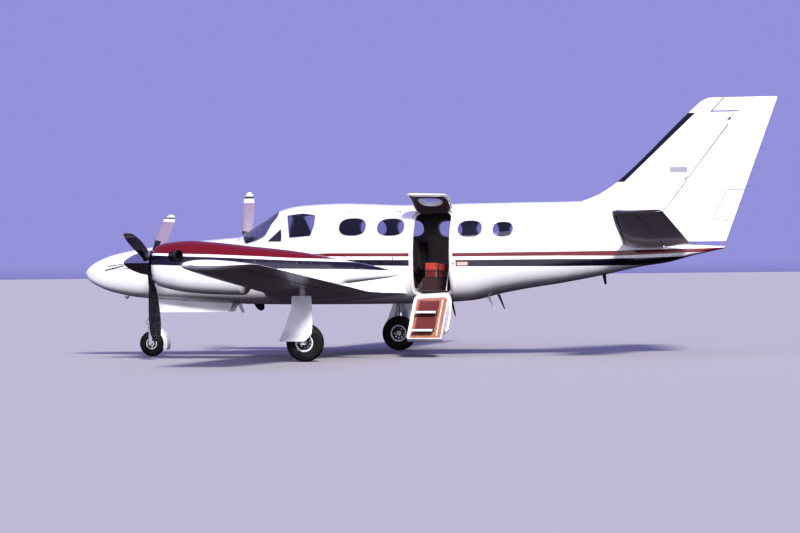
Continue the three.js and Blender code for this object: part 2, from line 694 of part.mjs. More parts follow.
// The room of a hinged surface: a round nose on the hinge line and all that lies aft of it
function surfaceRoom(side, bay, hinge, heightAt, halfAtY, gap, innerAft = bay[0], flare = 0) {
  const [y1, y2] = [bay[0] - gap, bay[1] + gap];
  const start = point(hinge, side * y1, heightAt(y1));
  const end = point(hinge, side * y2, heightAt(y2));
  const nose = rod(start, end, halfAtY(y1) + gap, halfAtY(y2) + gap, 16);
  const reach = 1000;
  const inner = innerAft === bay[0] ? y1 : innerAft - gap;
  const plan = [[hinge, y1], [hinge, y2], [hinge + reach, y2 + flare * reach], [hinge + reach, inner]];
  return nose.add(prism(plan.map(([x, y]) => point(x, side * y, 0)), point(0, 0, 1), 0, 4000));
}

const wingHalf = (hinge) => (y) => {
  const front = curve(WING, 1)(y);
  const chord = WING_TE - front;
  return airfoilHalf((hinge - front) / chord, WING_THICKNESS) * chord - 1;
};
const tailHalf = (y) => {
  const front = curve(TAILPLANE, 1)(y);
  const chord = 9647 - front;
  return airfoilHalf((ELEVATOR_HINGE - front) / chord, TAILPLANE_THICKNESS) * chord - 1;
};

// Pins on the hinge line that reach the walls at the ends of a surface's bay
function pins(side, bay, hinge, heightAt, ends = [0, 1]) {
  const reach = RUN_GAP - PIN_GAP;
  return ends.map((end) => {
    const span = end ? [bay[1] - 20, bay[1] + reach] : [bay[0] + 20, bay[0] - reach];
    const [inside, outside] = span.map((y) => point(hinge, side * y, heightAt(y)));
    return rod(inside, outside, PIN_RADIUS, PIN_RADIUS, 8);
  });
}

const bodySkin = fuselage(FUSELAGE[0][0], FUSELAGE.at(-1)[0], -SEAT_GAP);
for (const [name, side] of Object.entries(SIDES)) {
  const whole = wingSolid(side);
  let fixed = whole.subtract(bodySkin);
  for (const [bayName, bay] of Object.entries(FLAP_BAYS)) {
    const room = (gap) => surfaceRoom(side, bay, FLAP_HINGE, wingZ, wingHalf(FLAP_HINGE), gap);
    const flap = whole.intersect(room(0));
    place(`flap_${name}_${bayName}`, union(flap, ...pins(side, bay, FLAP_HINGE, wingZ)), 'white');
    fixed = fixed.subtract(room(RUN_GAP));
  }
  const room = (gap) => surfaceRoom(side, AILERON_BAY, AILERON_HINGE, wingZ, wingHalf(AILERON_HINGE), gap);
  const aileronPins = pins(side, AILERON_BAY, AILERON_HINGE, wingZ);
  place(`aileron_${name}`, union(whole.intersect(room(0)), ...aileronPins), 'white');
  place(`wing_${name}`, fixed.subtract(room(RUN_GAP)), 'white');

  const stabiliser = tailplaneSolid(side);
  const tailRoom = (gap, flare) => (
    surfaceRoom(side, ELEVATOR_BAY, ELEVATOR_HINGE, tailplaneZ, tailHalf, gap, ELEVATOR_CUTOUT, flare)
  );
  const elevatorPins = pins(side, ELEVATOR_BAY, ELEVATOR_HINGE, tailplaneZ, [1]);
  place(`elevator_${name}`, union(stabiliser.intersect(tailRoom(0, 0)), ...elevatorPins), 'white');
  const rootAft = block(ELEVATOR_HINGE - 60, 9700, 0, side * 330, 1500, 1800);
  const tailplane = stabiliser.subtract(tailRoom(RUN_GAP, TIP_FLARE)).subtract(rootAft).subtract(bodySkin);
  place(`tailplane_${name}`, tailplane, 'white');
}

// Fin and rudder
const finSolid = solid(loft(FIN.map(([z, front, rear, thickness]) => (
  airfoilRing(point(front, 0, z), rear - front, thickness, point(0, 1, 0))
)))).add(plate(DORSAL, -22, 22));
const finHalf = (x, z) => {
  const [front, rear] = [curve(FIN, 1)(z), curve(FIN, 2)(z)];
  return airfoilHalf((x - front) / (rear - front), curve(FIN, 3)(z)) * (rear - front) - 1;
};
// The balance horn reaches ahead of the hinge, and dips as the rudder turns on its leaning hinge
const HORN_LOW = 3645;
const HORN_FRONT = { low: 9965, high: 10140, top: 3840 };
const HORN_ROOM = { ahead: 18, under: 21 };
const NOSE_LEVELS = [RUDDER_LOW, 2000, 2300, 2600, 2900, 3250, HORN_LOW];
function rudderRoom(gap, room = { ahead: 0, under: 0 }) {
  const levels = NOSE_LEVELS.map((z, i) => z + gap * ({ 0: -1, [NOSE_LEVELS.length - 1]: 1 }[i] ?? 0));
  const radii = NOSE_LEVELS.map((z) => finHalf(hingeX(z), z) + gap);
  const nose = union(...levels.slice(1).map((z, i) => (
    rod(onHinge(levels[i]), onHinge(z), radii[i], radii[i + 1], 20)
  )));
  const { low, high, top } = HORN_FRONT;
  const hornLow = HORN_LOW - room.under;
  const lean = (room.under * (high - low)) / (top - HORN_LOW);
  const outline = [
    [hingeX(levels[0]), levels[0]], [10600, levels[0] - gap], [11400, 3400], [11400, 4000],
    [high - room.ahead, 4000], [high - room.ahead, top], [low - room.ahead - lean, hornLow],
    [hingeX(hornLow), hornLow],
  ];
  const keep = plate([[8000, levels[0]], [11400, levels[0]], [11400, 4000], [8000, 4000]], -300, 300);
  return nose.add(plate(outline, -300, 300)).intersect(keep);
}
const rudderPin = rod(onHinge(RUDDER_LOW + 20), onHinge(RUDDER_PIN_END), PIN_RADIUS, PIN_RADIUS, 8);
place('rudder', finSolid.intersect(rudderRoom(0)).add(rudderPin), 'white');
const underRudder = block(8700, 10300, -200, 200, 1500, RUDDER_LOW + RUN_GAP);
const finRoom = rudderRoom(RUN_GAP + 1, HORN_ROOM);
place('fin', finSolid.subtract(finRoom).subtract(bodySkin).subtract(underRudder), 'white');

// Nacelles, engines and propellers

const nacelleStations = NACELLE.map((row) => row[0]);
function nacelleBody(y, inset, from = nacelleStations[0], to = nacelleStations.at(-1)) {
  const stations = [from, ...nacelleStations.filter((s) => s > from + 1 && s < to - 1), to];
  return bodyLoft(NACELLE, stations, y, inset, [2.3, 2.5], 20);
}

function bladeRing([radius, chord, thickness, twist], clock) {
  const out = point(0, Math.sin(clock), Math.cos(clock));
  const lift = point(0, Math.cos(clock), -Math.sin(clock));
  const turn = THREE.MathUtils.degToRad(twist);
  return Array.from({ length: 8 }, (_, i) => {
    const a = (2 * Math.PI * i) / 8;
    const setBack = radius < 200 ? 0 : Math.min((radius - 190) / 200, 1) * BLADE_SET_BACK;
    const [u, v] = [(chord / 2) * Math.cos(a) + setBack, (thickness / 2) * Math.sin(a)];
    const p = point(u * Math.cos(turn) - v * Math.sin(turn), 0, 0);
    return p.addScaledVector(out, radius).addScaledVector(lift, u * Math.sin(turn) + v * Math.cos(turn));
  });
}

const spinnerLength = SPINNER_BACK - SPINNER_TIP - 1;
const HUB_FRONT = 1770;
const HUB_RADIUS = 112;
const STACK_RADIUS = 60;
const STACK_ROOM = 12;
for (const [name, side] of Object.entries(SIDES)) {
  const y = side * NACELLE_Y;
  const wingGrown = wingSolid(side, SEAT_GAP);
  const hollow = nacelleBody(y, COWL_WALL, 1930, FIREWALL);
  const mouth = solid(loft([1930, 2240].map((x) => (
    Array.from({ length: 20 }, (_, i) => {
      const a = (2 * Math.PI * i) / 20;
      return point(x, y + 165 * Math.cos(a), 1225 + 62 * Math.sin(a));
    })
  ))));
  let cowl = nacelleBody(y, 0).subtract(hollow).subtract(mouth);
  let engine = union(
    rod(point(2080, y, SHAFT_Z), point(FIREWALL - SEAT_GAP, y, SHAFT_Z), 150, 205),
    rod(point(SPINNER_BACK + PIN_GAP, y, SHAFT_Z), point(2100, y, SHAFT_Z), 48, 62),
  );
  for (const flank of [-1, 1]) {
    const root = point(2290, y + flank * 120, 1540);
    const bend = point(2335, y + flank * 338, 1560);
    const lip = point(2478, y + flank * 404, 1572);
    const [narrow, wide] = [STACK_RADIUS, STACK_RADIUS + STACK_ROOM];
    engine = engine.add(rod(root, bend, narrow)).add(rod(bend, lip, narrow, wide));
    cowl = cowl.subtract(rod(root, bend, wide)).subtract(rod(bend, lip, wide, wide + STACK_ROOM));
  }
  place(`engine_${name}`, engine, 'engine');
  place(`nacelle_${name}`, cowl.subtract(wingGrown), 'crimson');

  const hubAt = point(PROP_STATION, y, SHAFT_Z);
  const hub = (front, back, radius) => (
    rod(point(front, y, SHAFT_Z), point(back, y, SHAFT_Z), radius, radius, 14)
  );
  let propeller = hub(HUB_FRONT, SPINNER_BACK, HUB_RADIUS);
  let shanks = null;
  for (const turn of [0, 120, 240]) {
    const clock = THREE.MathUtils.degToRad(PROP_CLOCK[name] + turn);
    const rings = BLADE.map((row) => bladeRing(row, clock).map((p) => p.add(hubAt)));
    const root = bladeRing([20, 74, 74, 0], clock).map((p) => p.add(hubAt));
    propeller = propeller.add(solid(loft([root, ...rings])));
    const reach = point(0, Math.sin(clock), Math.cos(clock));
    const hole = rod(hubAt.clone(), hubAt.clone().addScaledVector(reach, 260), 46, 46, 10);
    shanks = shanks ? shanks.add(hole) : hole;
  }
  place(`propeller_${name}`, propeller, 'blade');
  const profile = [...SPINNER_DOME, [SPINNER_RADIUS, spinnerLength], [0, spinnerLength]];
  const spinner = turned(profile, 18, (dome) => (
    dome.rotateZ(-Math.PI / 2).translate(SPINNER_TIP, y, SHAFT_Z)
  ));
  const bore = hub(HUB_FRONT - SEAT_GAP, SPINNER_BACK + 28, HUB_RADIUS + 4);
  place(`spinner_${name}`, spinner.subtract(bore).subtract(shanks), 'polished');
}

// Wheels: a round tyre on a dished rim, both turned about the axle

function wheel(name, centre, { radius, width, rim }) {
  const half = width / 2;
  const bead = rim + 8;
  const move = (geometry) => geometry.translate(...centre);
  const tyreProfile = [];
  const steps = 8;
  for (let i = 0; i <= steps; i++) {
    const a = Math.PI * (1 - i / steps);
    const across = Math.abs(Math.cos(a)) ** 0.8 * Math.sign(Math.cos(a));
    const narrowed = i === 0 || i === steps ? BEAD_SHARE : 1;
    tyreProfile.push([bead + (radius - bead) * Math.sin(a) ** 0.72, half * across * narrowed]);
  }
  tyreProfile.push([...tyreProfile[0]]);
  place(`${name}_tyre`, turned(tyreProfile, WHEEL_SEGMENTS, move), 'rubber');
  const edge = bead - SEAT_GAP;
  const side = [
    // radius, share of the half width
    [AXLE_RADIUS + 0.5, 0.5],
    [HUB_BOSS, 0.5],
    [edge * 0.74, 0.2],
    [edge * 0.88, 0.6],
    [edge, 0.6],
  ].map(([r, share]) => [r, half * share]);
  const low = side.map(([r, h]) => [r, -h]);
  place(`${name}_rim`, turned([...low, ...side.reverse(), low[0]], WHEEL_SEGMENTS, move), 'white');
}

// Main gear: an oleo leg outboard of the wheel, its axle, and the leg door on its outer side

const LEG_DOOR = [
  [4255, 960], [4545, 960], [4562, 580], [4545, 400], [4440, 300], [4052, 300], [4150, 520], [4245, 780],
];
for (const [name, side] of Object.entries(SIDES)) {
  const [x, y, z] = MAIN_AXLE;
  wheel(`main_wheel_${name}`, [x, side * y, z], MAIN_TYRE);
  const legY = side * LEG_Y;
  const inWing = wingZ(LEG_Y) - 20;
  const leg = union(
    rod(point(x, legY, z + 330), point(x, legY, inWing), LEG_RADIUS),
    rod(point(x, legY, z - 30), point(x, legY, z + 332), 32),
    rod(point(x, legY - side * 4, z), point(x, side * (y - 50), z), AXLE_RADIUS),
    rod(point(x, legY, z), point(x + 135, legY, z + 210), 16),
    rod(point(x + 135, legY, z + 210), point(x, legY, z + 400), 16),
    rod(point(x, legY, z + 560), point(x - 30, side * (LEG_Y - 330), inWing - 30), 24),
    rod(point(x, legY, 470), point(x, side * LEG_DOOR_INNER, 470), 20),
    rod(point(x, legY, 820), point(x, side * LEG_DOOR_INNER, 820), 20),
  );
  place(`main_leg_${name}`, leg.subtract(wingSolid(side, SEAT_GAP)), 'steel');
  const panel = plate(LEG_DOOR, side * (LEG_DOOR_INNER + SEAT_GAP), side * (LEG_DOOR_INNER + 16));
  place(`leg_door_${name}`, panel, 'white');
}

// Nose gear: a fixed upper leg, and the steered fork with its wheel, mudguard and axle

wheel('nose_wheel', NOSE_AXLE, NOSE_TYRE);
const [noseX, , noseZ] = NOSE_AXLE;
const trunnionEnd = NOSE_WELL.half - SEAT_GAP;
place('nose_leg', union(
  rod(point(noseX, 0, NOSE_LEG_JOINT + PIN_GAP), point(noseX, 0, NOSE_WELL.top - SEAT_GAP), 44),
  rod(point(noseX + 20, 0, 720), point(noseX + 200, 0, 990), 18),
  rod(point(noseX + 200, -trunnionEnd, 990), point(noseX + 200, trunnionEnd, 990), 20),
), 'steel');
place('nose_fork', union(
  rod(point(noseX, 0, 440), point(noseX, 0, NOSE_LEG_JOINT), 34),
  block(noseX - 45, noseX + 45, -104, 104, 425, 462),
  ...[-1, 1].map((flank) => (
    block(noseX - 26, noseX + 26, flank * 95 - 9, flank * 95 + 9, noseZ - 26, 430)
  )),
  rod(point(noseX, -96, noseZ), point(noseX, 96, noseZ), AXLE_RADIUS),
), 'steel');
// The mudguard is a channel: an arc with two cheeks. Its angles are in degrees, up from straight aft
const GUARD = { low: -20, high: 65, inner: 212, outer: 282, half: 82, wall: 9 };
const sector = (inner, outer, half) => {
  const outline = [];
  for (const [radius, first, last] of [[inner, GUARD.low, GUARD.high], [outer, GUARD.high, GUARD.low]]) {
    for (let i = 0; i <= 8; i++) {
      const a = THREE.MathUtils.degToRad(first + ((last - first) * i) / 8);
      outline.push([noseX + radius * Math.cos(a), noseZ + radius * Math.sin(a)]);
    }
  }
  return plate(outline, -half, half);
};
const cheek = GUARD.half - GUARD.wall;
const crest = GUARD.outer - GUARD.wall;
const tyreRoom = rod(point(noseX, -cheek, noseZ), point(noseX, cheek, noseZ), crest, crest, 48);
const guard = sector(GUARD.inner, GUARD.outer, GUARD.half).subtract(tyreRoom);
const stay = (flank) => rod(point(noseX + 20, flank * 80, 444), point(noseX + 110, flank * 78, 405), 7);
const crownRoom = block(noseX - 60, noseX + 45 + SEAT_GAP, -120, 120, 400, 500);
place('nose_mudguard', union(guard, ...[-1, 1].map(stay)).subtract(crownRoom), 'white');

for (const [name, side] of Object.entries(SIDES)) {
  const door = [[1180, 960], [2480, 940], [2480, 830], [2410, 690], [1280, 690], [1180, 760]];
  const outer = plate(door, side * (NOSE_WELL.half + 6), side * (NOSE_WELL.half + 18));
  place(`nose_gear_door_${name}`, outer.subtract(bodySkin), 'white');
}

aircraft.position.x = -ORIGIN_STATION;
export default aircraft;
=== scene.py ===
# A twin turboprop aircraft, parked with its cabin door open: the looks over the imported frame.
# Metres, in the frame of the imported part: -x to the nose, +y to starboard, z up from the ground.
# Stations in the tables are metres aft of the nose tip, as in the part's own drawing.
import math

import bpy
import numpy as np
from mathutils import Matrix, Vector


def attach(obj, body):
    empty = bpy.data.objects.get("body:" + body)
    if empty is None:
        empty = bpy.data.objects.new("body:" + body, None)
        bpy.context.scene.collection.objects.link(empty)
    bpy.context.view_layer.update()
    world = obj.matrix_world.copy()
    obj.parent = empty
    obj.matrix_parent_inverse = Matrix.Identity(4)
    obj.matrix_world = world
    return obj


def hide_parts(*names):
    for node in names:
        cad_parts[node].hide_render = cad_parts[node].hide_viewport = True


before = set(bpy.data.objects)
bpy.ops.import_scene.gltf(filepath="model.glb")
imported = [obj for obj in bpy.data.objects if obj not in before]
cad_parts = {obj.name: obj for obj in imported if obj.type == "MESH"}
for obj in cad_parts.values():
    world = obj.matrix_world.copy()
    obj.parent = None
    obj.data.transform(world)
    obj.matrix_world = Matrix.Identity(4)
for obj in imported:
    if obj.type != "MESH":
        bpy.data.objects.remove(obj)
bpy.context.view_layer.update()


# Camera, floor and light
# A long lens at eye height, a little behind abeam of the port side, as the photograph was taken.
# The floor is a pale sealed slab that throws no light back. A soft sun stands a third of the way up, off the
# port side and a little aft, a wide level lamp fills in, and the sky is dark below the horizon.
NOSE = -5.465
EYE = (11.031, -44.176, 1.402)
SKY_GLOW, GROUND_GLOW = (0.46, 0.45, 1.00, 1), (0.05, 0.038, 0.055, 1)
YAW, PITCH, ROLL = (math.radians(a) for a in (14.445, -0.044, -0.584))

lens = bpy.data.cameras.new("camera")
lens.sensor_width = 36
lens.lens = 133.93
lens.clip_start, lens.clip_end = 1, 900
camera = bpy.data.objects.new("camera", lens)
bpy.context.collection.objects.link(camera)
forward = Vector((-math.sin(YAW) * math.cos(PITCH), math.cos(YAW) * math.cos(PITCH), math.sin(PITCH)))
level = Vector((math.cos(YAW), math.sin(YAW), 0))
upright = level.cross(forward)
right = level * math.cos(ROLL) + upright * math.sin(ROLL)
up = upright * math.cos(ROLL) - level * math.sin(ROLL)
camera.matrix_world = Matrix.Translation(EYE) @ Matrix((right, up, -forward)).transposed().to_4x4()
bpy.context.scene.camera = camera


def sunlight(name, energy, spread, colour, way):
    """A lamp as far off as the sun: its strength, its width in degrees, its colour and where it stands."""
    light = bpy.data.lights.new(name, "SUN")
    light.energy, light.angle, light.color = energy, math.radians(spread), colour
    lamp = bpy.data.objects.new(name, light)
    lamp.rotation_mode = "QUATERNION"
    lamp.rotation_quaternion = Vector(way).to_track_quat("Z", "Y")
    bpy.context.collection.objects.link(lamp)


sunlight("soft sun", 3.8, 9, (1.0, 0.975, 0.94), (0.38, -0.76, 0.56))
sunlight("soft fill", 1.3, 60, (0.92, 0.93, 1.0), (0.10, -1.0, 0.02))

air = bpy.context.scene.world or bpy.data.worlds.new("air")
bpy.context.scene.world = air
air.use_nodes = True
way = air.node_tree.nodes.new("ShaderNodeTexCoord")
height = air.node_tree.nodes.new("ShaderNodeSeparateXYZ")
horizon = air.node_tree.nodes.new("ShaderNodeValToRGB")
horizon.color_ramp.elements[0].color, horizon.color_ramp.elements[1].color = GROUND_GLOW, SKY_GLOW
horizon.color_ramp.elements[0].position, horizon.color_ramp.elements[1].position = 0.49, 0.50
air.node_tree.links.new(way.outputs["Generated"], height.inputs[0])
rise = air.node_tree.nodes.new("ShaderNodeMath")
rise.operation = "MULTIPLY_ADD"
rise.inputs[1].default_value = rise.inputs[2].default_value = 0.5
air.node_tree.links.new(height.outputs["Z"], rise.inputs[0])
air.node_tree.links.new(rise.outputs[0], horizon.inputs["Fac"])
air.node_tree.links.new(horizon.outputs["Color"], air.node_tree.nodes["Background"].inputs["Color"])
air.node_tree.nodes["Background"].inputs["Strength"].default_value = 0.60
bpy.context.scene.view_settings.view_transform = "Standard"
bpy.context.scene.view_settings.look = "Medium High Contrast"


def node(tree, kind, **settings):
    """Adds one shader node: a setting with a small name is a property, any other is an input's value."""
    made = tree.nodes.new("ShaderNode" + kind)
    for name, value in settings.items():
        if name.islower():
            setattr(made, name, value)
        else:
            made.inputs[name.replace("_", " ")].default_value = value
    return made


def coating(name, **surface):
    """A material with one Principled shader; the words are that shader's inputs, _ for a space."""
    material = bpy.data.materials.new(name)
    material.use_nodes = True
    shader = material.node_tree.nodes["Principled BSDF"]
    for socket, value in surface.items():
        shader.inputs[socket.replace("_", " ")].default_value = value
    return material, material.node_tree, shader


def mottle(tree, scale, low, high, detail=4.0):
    """Noise on Object coordinates, spread from low to high: the socket of one number per point."""
    place = node(tree, "TexCoord")
    noise = node(tree, "TexNoise", Scale=scale, Detail=detail)
    spread = node(tree, "MapRange", From_Min=0.3, From_Max=0.7, To_Min=low, To_Max=high)
    tree.links.new(place.outputs["Object"], noise.inputs["Vector"])
    tree.links.new(noise.outputs["Fac"], spread.inputs["Value"])
    return spread.outputs["Result"]


def uneven(name, colour, gloss, worn=None, grain=None, **surface):
    """A material with its roughness in a mottle of gloss: scale, low and high. Worn is a second colour and
    the mottle that lays it over the first. Grain is a bump's strength, depth and the mottle it follows."""
    material, tree, shader = coating(name, Base_Color=colour, **surface)
    if worn:
        shade = painted_over(tree, colour, worn[0], mottle(tree, *worn[1]))
        tree.links.new(shade, shader.inputs["Base Color"])
    tree.links.new(mottle(tree, *gloss), shader.inputs["Roughness"])
    if grain:
        bump = node(tree, "Bump", Strength=grain[0], Distance=grain[1])
        tree.links.new(mottle(tree, *grain[2]), bump.inputs["Height"])
        tree.links.new(bump.outputs["Normal"], shader.inputs["Normal"])
    return material


slab_paint = uneven("floor_slab", (0.47, 0.45, 0.45, 1), (0.35, 0.92, 0.98), Specular_IOR_Level=0.1)
angle = np.linspace(0, 2 * math.pi, 96, endpoint=False)
rim = np.stack([320 * np.cos(angle), 320 * np.sin(angle), np.zeros(96)], 1)
slab_mesh = bpy.data.meshes.new("floor_slab")
slab_mesh.from_pydata(rim.tolist(), [], [list(range(96))])
slab_mesh.materials.append(slab_paint)
slab = bpy.data.objects.new("floor_slab", slab_mesh)
bpy.context.collection.objects.link(slab)
slab.visible_diffuse = slab.visible_glossy = False


# Fuselage skin
# A riveted aluminium shell in three lengths, painted gloss white over red and dark blue lines.
# The nose is a closed fairing, the cabin a pressure shell with cut windows, and the tail a cone.
FUSELAGE = np.array([
    # station, top, bottom, half width
    (0.004, 1.325, 1.292, 0.016), (0.06, 1.392, 1.215, 0.075), (0.18, 1.476, 1.128, 0.142),
    (0.48, 1.592, 1.010, 0.252), (1.0, 1.690, 0.915, 0.385), (1.9, 1.795, 0.850, 0.530),
    (2.25, 1.822, 0.828, 0.575), (2.59, 1.850, 0.815, 0.610), (2.72, 1.930, 0.810, 0.630),
    (3.06, 2.142, 0.803, 0.662), (3.24, 2.248, 0.800, 0.680), (3.56, 2.318, 0.797, 0.705),
    (4.2, 2.345, 0.795, 0.728), (5.3, 2.306, 0.800, 0.730), (6.2, 2.318, 0.838, 0.705),
    (6.7, 2.320, 0.945, 0.655), (7.15, 2.322, 1.025, 0.602), (7.6, 2.322, 1.090, 0.540),
    (7.95, 2.325, 1.150, 0.482), (8.3, 2.255, 1.215, 0.420), (8.62, 2.020, 1.285, 0.350),
    (8.88, 1.674, 1.336, 0.292), (9.25, 1.664, 1.390, 0.225), (9.64, 1.650, 1.490, 0.145),
    (10.12, 1.622, 1.592, 0.016),
])
WIDEST = 0.47
ROOF, BELLY = 2.3, 3.0
WALL = 0.05
# Points round each ring of the skin
HOOP = 144
NOSE_END, CABIN_END = 2.25, 7.15


def fair(knots, values):
    """A smooth curve through the knots. Between two of them it is a cubic, and its slope at a knot is the
    harmonic mean of the chords' slopes beside it, or 0 where they differ in sign, so it never overshoots."""
    knots, values = np.asarray(knots, float), np.asarray(values, float)
    run = np.diff(knots)
    chord = np.diff(values) / run
    slope = np.zeros_like(values)
    slope[0], slope[-1] = chord[0], chord[-1]
    product = chord[:-1] * chord[1:]
    total = np.where(product > 0, chord[:-1] + chord[1:], 1)
    slope[1:-1] = np.where(product > 0, 2 * product / total, 0)

    def at(s):
        s = np.clip(s, knots[0], knots[-1])
        i = np.clip(np.searchsorted(knots, s, side="right") - 1, 0, len(knots) - 2)
        t = (s - knots[i]) / run[i]
        bend = (1 - t) * slope[i] - t * slope[i + 1]
        return values[i] + t * t * (3 - 2 * t) * (values[i + 1] - values[i]) + run[i] * t * (1 - t) * bend
    return at


def oval_body(table, centre, powers, widest=WIDEST):
    """Two functions of one body. hoops(stations, count, inset): rings of points whose height and width follow
    |across / half| ^ p + |up / reach| ^ p = 1, with one power above the widest line and one below it.
    field(points): that sum to the power 1 / p, minus 1, which is 0 on the skin and grows outwards."""
    top, bottom, half = (fair(table[:, 0], table[:, k]) for k in (1, 2, 3))

    def hoops(stations, count, inset=0.0):
        s = np.asarray(stations, float)[:, None]
        a = (2 * math.pi * np.arange(count) / count)[None, :]
        high, low = top(s) - inset, bottom(s) + inset
        wide = np.maximum(half(s) - inset, 0.004)
        line = low + widest * (high - low)
        power = 2 / np.where(np.sin(a) > 0, powers[0], powers[1])
        across = np.sign(np.cos(a)) * np.abs(np.cos(a)) ** power * wide
        reach = np.where(np.sin(a) > 0, high - line, line - low)
        rise = np.sign(np.sin(a)) * np.abs(np.sin(a)) ** power * reach
        x = np.broadcast_to(s + NOSE, across.shape)
        return np.stack([x, centre + across, line + rise], -1)

    def field(points):
        s = points[:, 0] - NOSE
        line = bottom(s) + widest * (top(s) - bottom(s))
        above = points[:, 2] > line
        power = np.where(above, powers[0], powers[1])
        reach = np.where(above, top(s) - line, line - bottom(s))
        y, z = np.abs(points[:, 1] - centre) / half(s), np.abs(points[:, 2] - line) / reach
        return (y ** power + z ** power) ** (1 / power) * half(s) - half(s)
    return hoops, field


def ring_at(s):
    """Top, bottom, half width and widest height of the fuselage at a station."""
    top, bottom, half = (fair(FUSELAGE[:, 0], FUSELAGE[:, k])(s) for k in (1, 2, 3))
    return top, bottom, half, bottom + WIDEST * (top - bottom)


def flush_half(s, z):
    """Half width of the fuselage skin at a station and a height, from the ring's own formula."""
    top, bottom, half, line = ring_at(s)
    power = np.where(z > line, ROOF, BELLY)
    reach = np.where(z > line, top - line, line - bottom)
    return half * (1 - np.minimum(np.abs(z - line) / reach, 1) ** power) ** (1 / power)


def flush_top(s, y):
    """Height of the upper skin at a station and a distance off the centreline, from the same formula."""
    top, bottom, half, line = ring_at(s)
    return line + (top - line) * (1 - np.minimum(np.abs(y) / half, 1) ** ROOF) ** (1 / ROOF)


def lofted(name, rings, ends="flat", paint=()):
    """A piece through rings of points, one row for each ring: quads from row to row and round each row.
    The ends are flat faces, or the last ring is joined to the first. Faces are turned outwards by the sign
    of the volume they enclose, the sum of a . (b x c) + a . (c x d) over the quads."""
    rows, count = rings.shape[:2]
    index = np.arange(rows * count).reshape(rows, count)
    last = rows if ends == "joined" else rows - 1
    here, there = index[:last], np.roll(index, -1, 0)[:last]
    quads = np.stack([here, np.roll(here, -1, 1), np.roll(there, -1, 1), there], -1).reshape(-1, 4)
    faces = quads.tolist()
    if ends == "flat":
        faces += [index[0][::-1].tolist(), index[-1].tolist()]
    points = rings.reshape(-1, 3)
    middle = points.mean(0)
    a, b, c, d = (points[quads[:, k]] - middle for k in range(4))
    if np.einsum("ij,ij->i", a, np.cross(b, c) + np.cross(c, d)).sum() < 0:
        faces = [face[::-1] for face in faces]
    return piece_from(name, points, faces, paint)


def piece_from(name, points, faces, paint=()):
    """An object at the origin with these points and faces, and its paints in order."""
    mesh = bpy.data.meshes.new(name)
    mesh.from_pydata(np.asarray(points, float).tolist(), [], faces)
    for material in paint:
        mesh.materials.append(material)
    piece = bpy.data.objects.new(name, mesh)
    bpy.context.collection.objects.link(piece)
    return piece


def merged(name, pieces):
    """The pieces' meshes as one object; faces keep the paint of their own piece."""
    with bpy.context.temp_override(active_object=pieces[0], selected_editable_objects=pieces):
        bpy.ops.object.join()
    pieces[0].name = pieces[0].data.name = name
    return pieces[0]


def carved(piece, tool, how="DIFFERENCE", keep_tool=False):
    """Cuts a piece with a closed tool, or keeps what both share, and takes the tool away."""
    cut = piece.modifiers.new("cut", "BOOLEAN")
    cut.object, cut.operation, cut.solver = tool, how, "MANIFOLD"
    shaped = bpy.data.meshes.new_from_object(piece.evaluated_get(bpy.context.evaluated_depsgraph_get()))
    piece.modifiers.clear()
    whole, piece.data = piece.data, shaped
    shaped.name = piece.name
    bpy.data.meshes.remove(whole)
    if not keep_tool:
        bpy.data.objects.remove(tool)
    return piece


def points_of(mesh):
    """The points of a mesh, one row each."""
    points = np.empty(len(mesh.vertices) * 3)
    mesh.vertices.foreach_get("co", points)
    return points.reshape(-1, 3)


def faired(piece, field=None, angle=32.0):
    """Smooth shading that keeps edges sharper than the angle. Where a face lies on the field's zero surface,
    each corner's normal is the field's slope there, so that cut openings leave no dents in the shine."""
    mesh = piece.data
    mesh.shade_smooth()
    mesh.set_sharp_from_angle(angle=math.radians(angle))
    if field is None:
        return piece
    points = points_of(mesh)
    step = 0.0005
    slope = np.stack([field(points + d) - field(points - d) for d in np.eye(3) * step], 1)
    slope /= np.maximum(np.linalg.norm(slope, axis=1, keepdims=True), 1e-12)
    on_skin = np.abs(field(points)) < 0.004
    corners = len(mesh.loops)
    vertex, start = np.empty(corners, int), np.empty(len(mesh.polygons), int)
    length, flat = np.empty(len(mesh.polygons), int), np.empty(len(mesh.polygons) * 3)
    mesh.loops.foreach_get("vertex_index", vertex)
    mesh.polygons.foreach_get("loop_start", start)
    mesh.polygons.foreach_get("loop_total", length)
    mesh.polygons.foreach_get("normal", flat)
    flat = np.repeat(flat.reshape(-1, 3), length, axis=0)
    normals = np.empty(corners * 3)
    mesh.corner_normals.foreach_get("vector", normals)
    normals = normals.reshape(-1, 3)
    follow = on_skin[vertex] & (np.einsum("ij,ij->i", flat, slope[vertex]) > 0.8)
    normals[follow] = slope[vertex][follow]
    mesh.normals_split_custom_set(normals.tolist())
    return piece


def closed_shell(name, outer, inner, paint=()):
    """A wall between two sets of rings: rows run aft along the outer ones, forward along the inner ones,
    and the last row meets the first, so the two rims are closed. Inner faces take the second paint."""
    rings = np.concatenate([outer, inner[::-1]])
    piece = lofted(name, rings, "joined", paint)
    side = np.repeat(np.arange(len(rings)) >= len(outer), rings.shape[1]) & (len(paint) > 1)
    side = side.astype(np.int32)
    piece.data.polygons.foreach_set("material_index", side)
    return piece


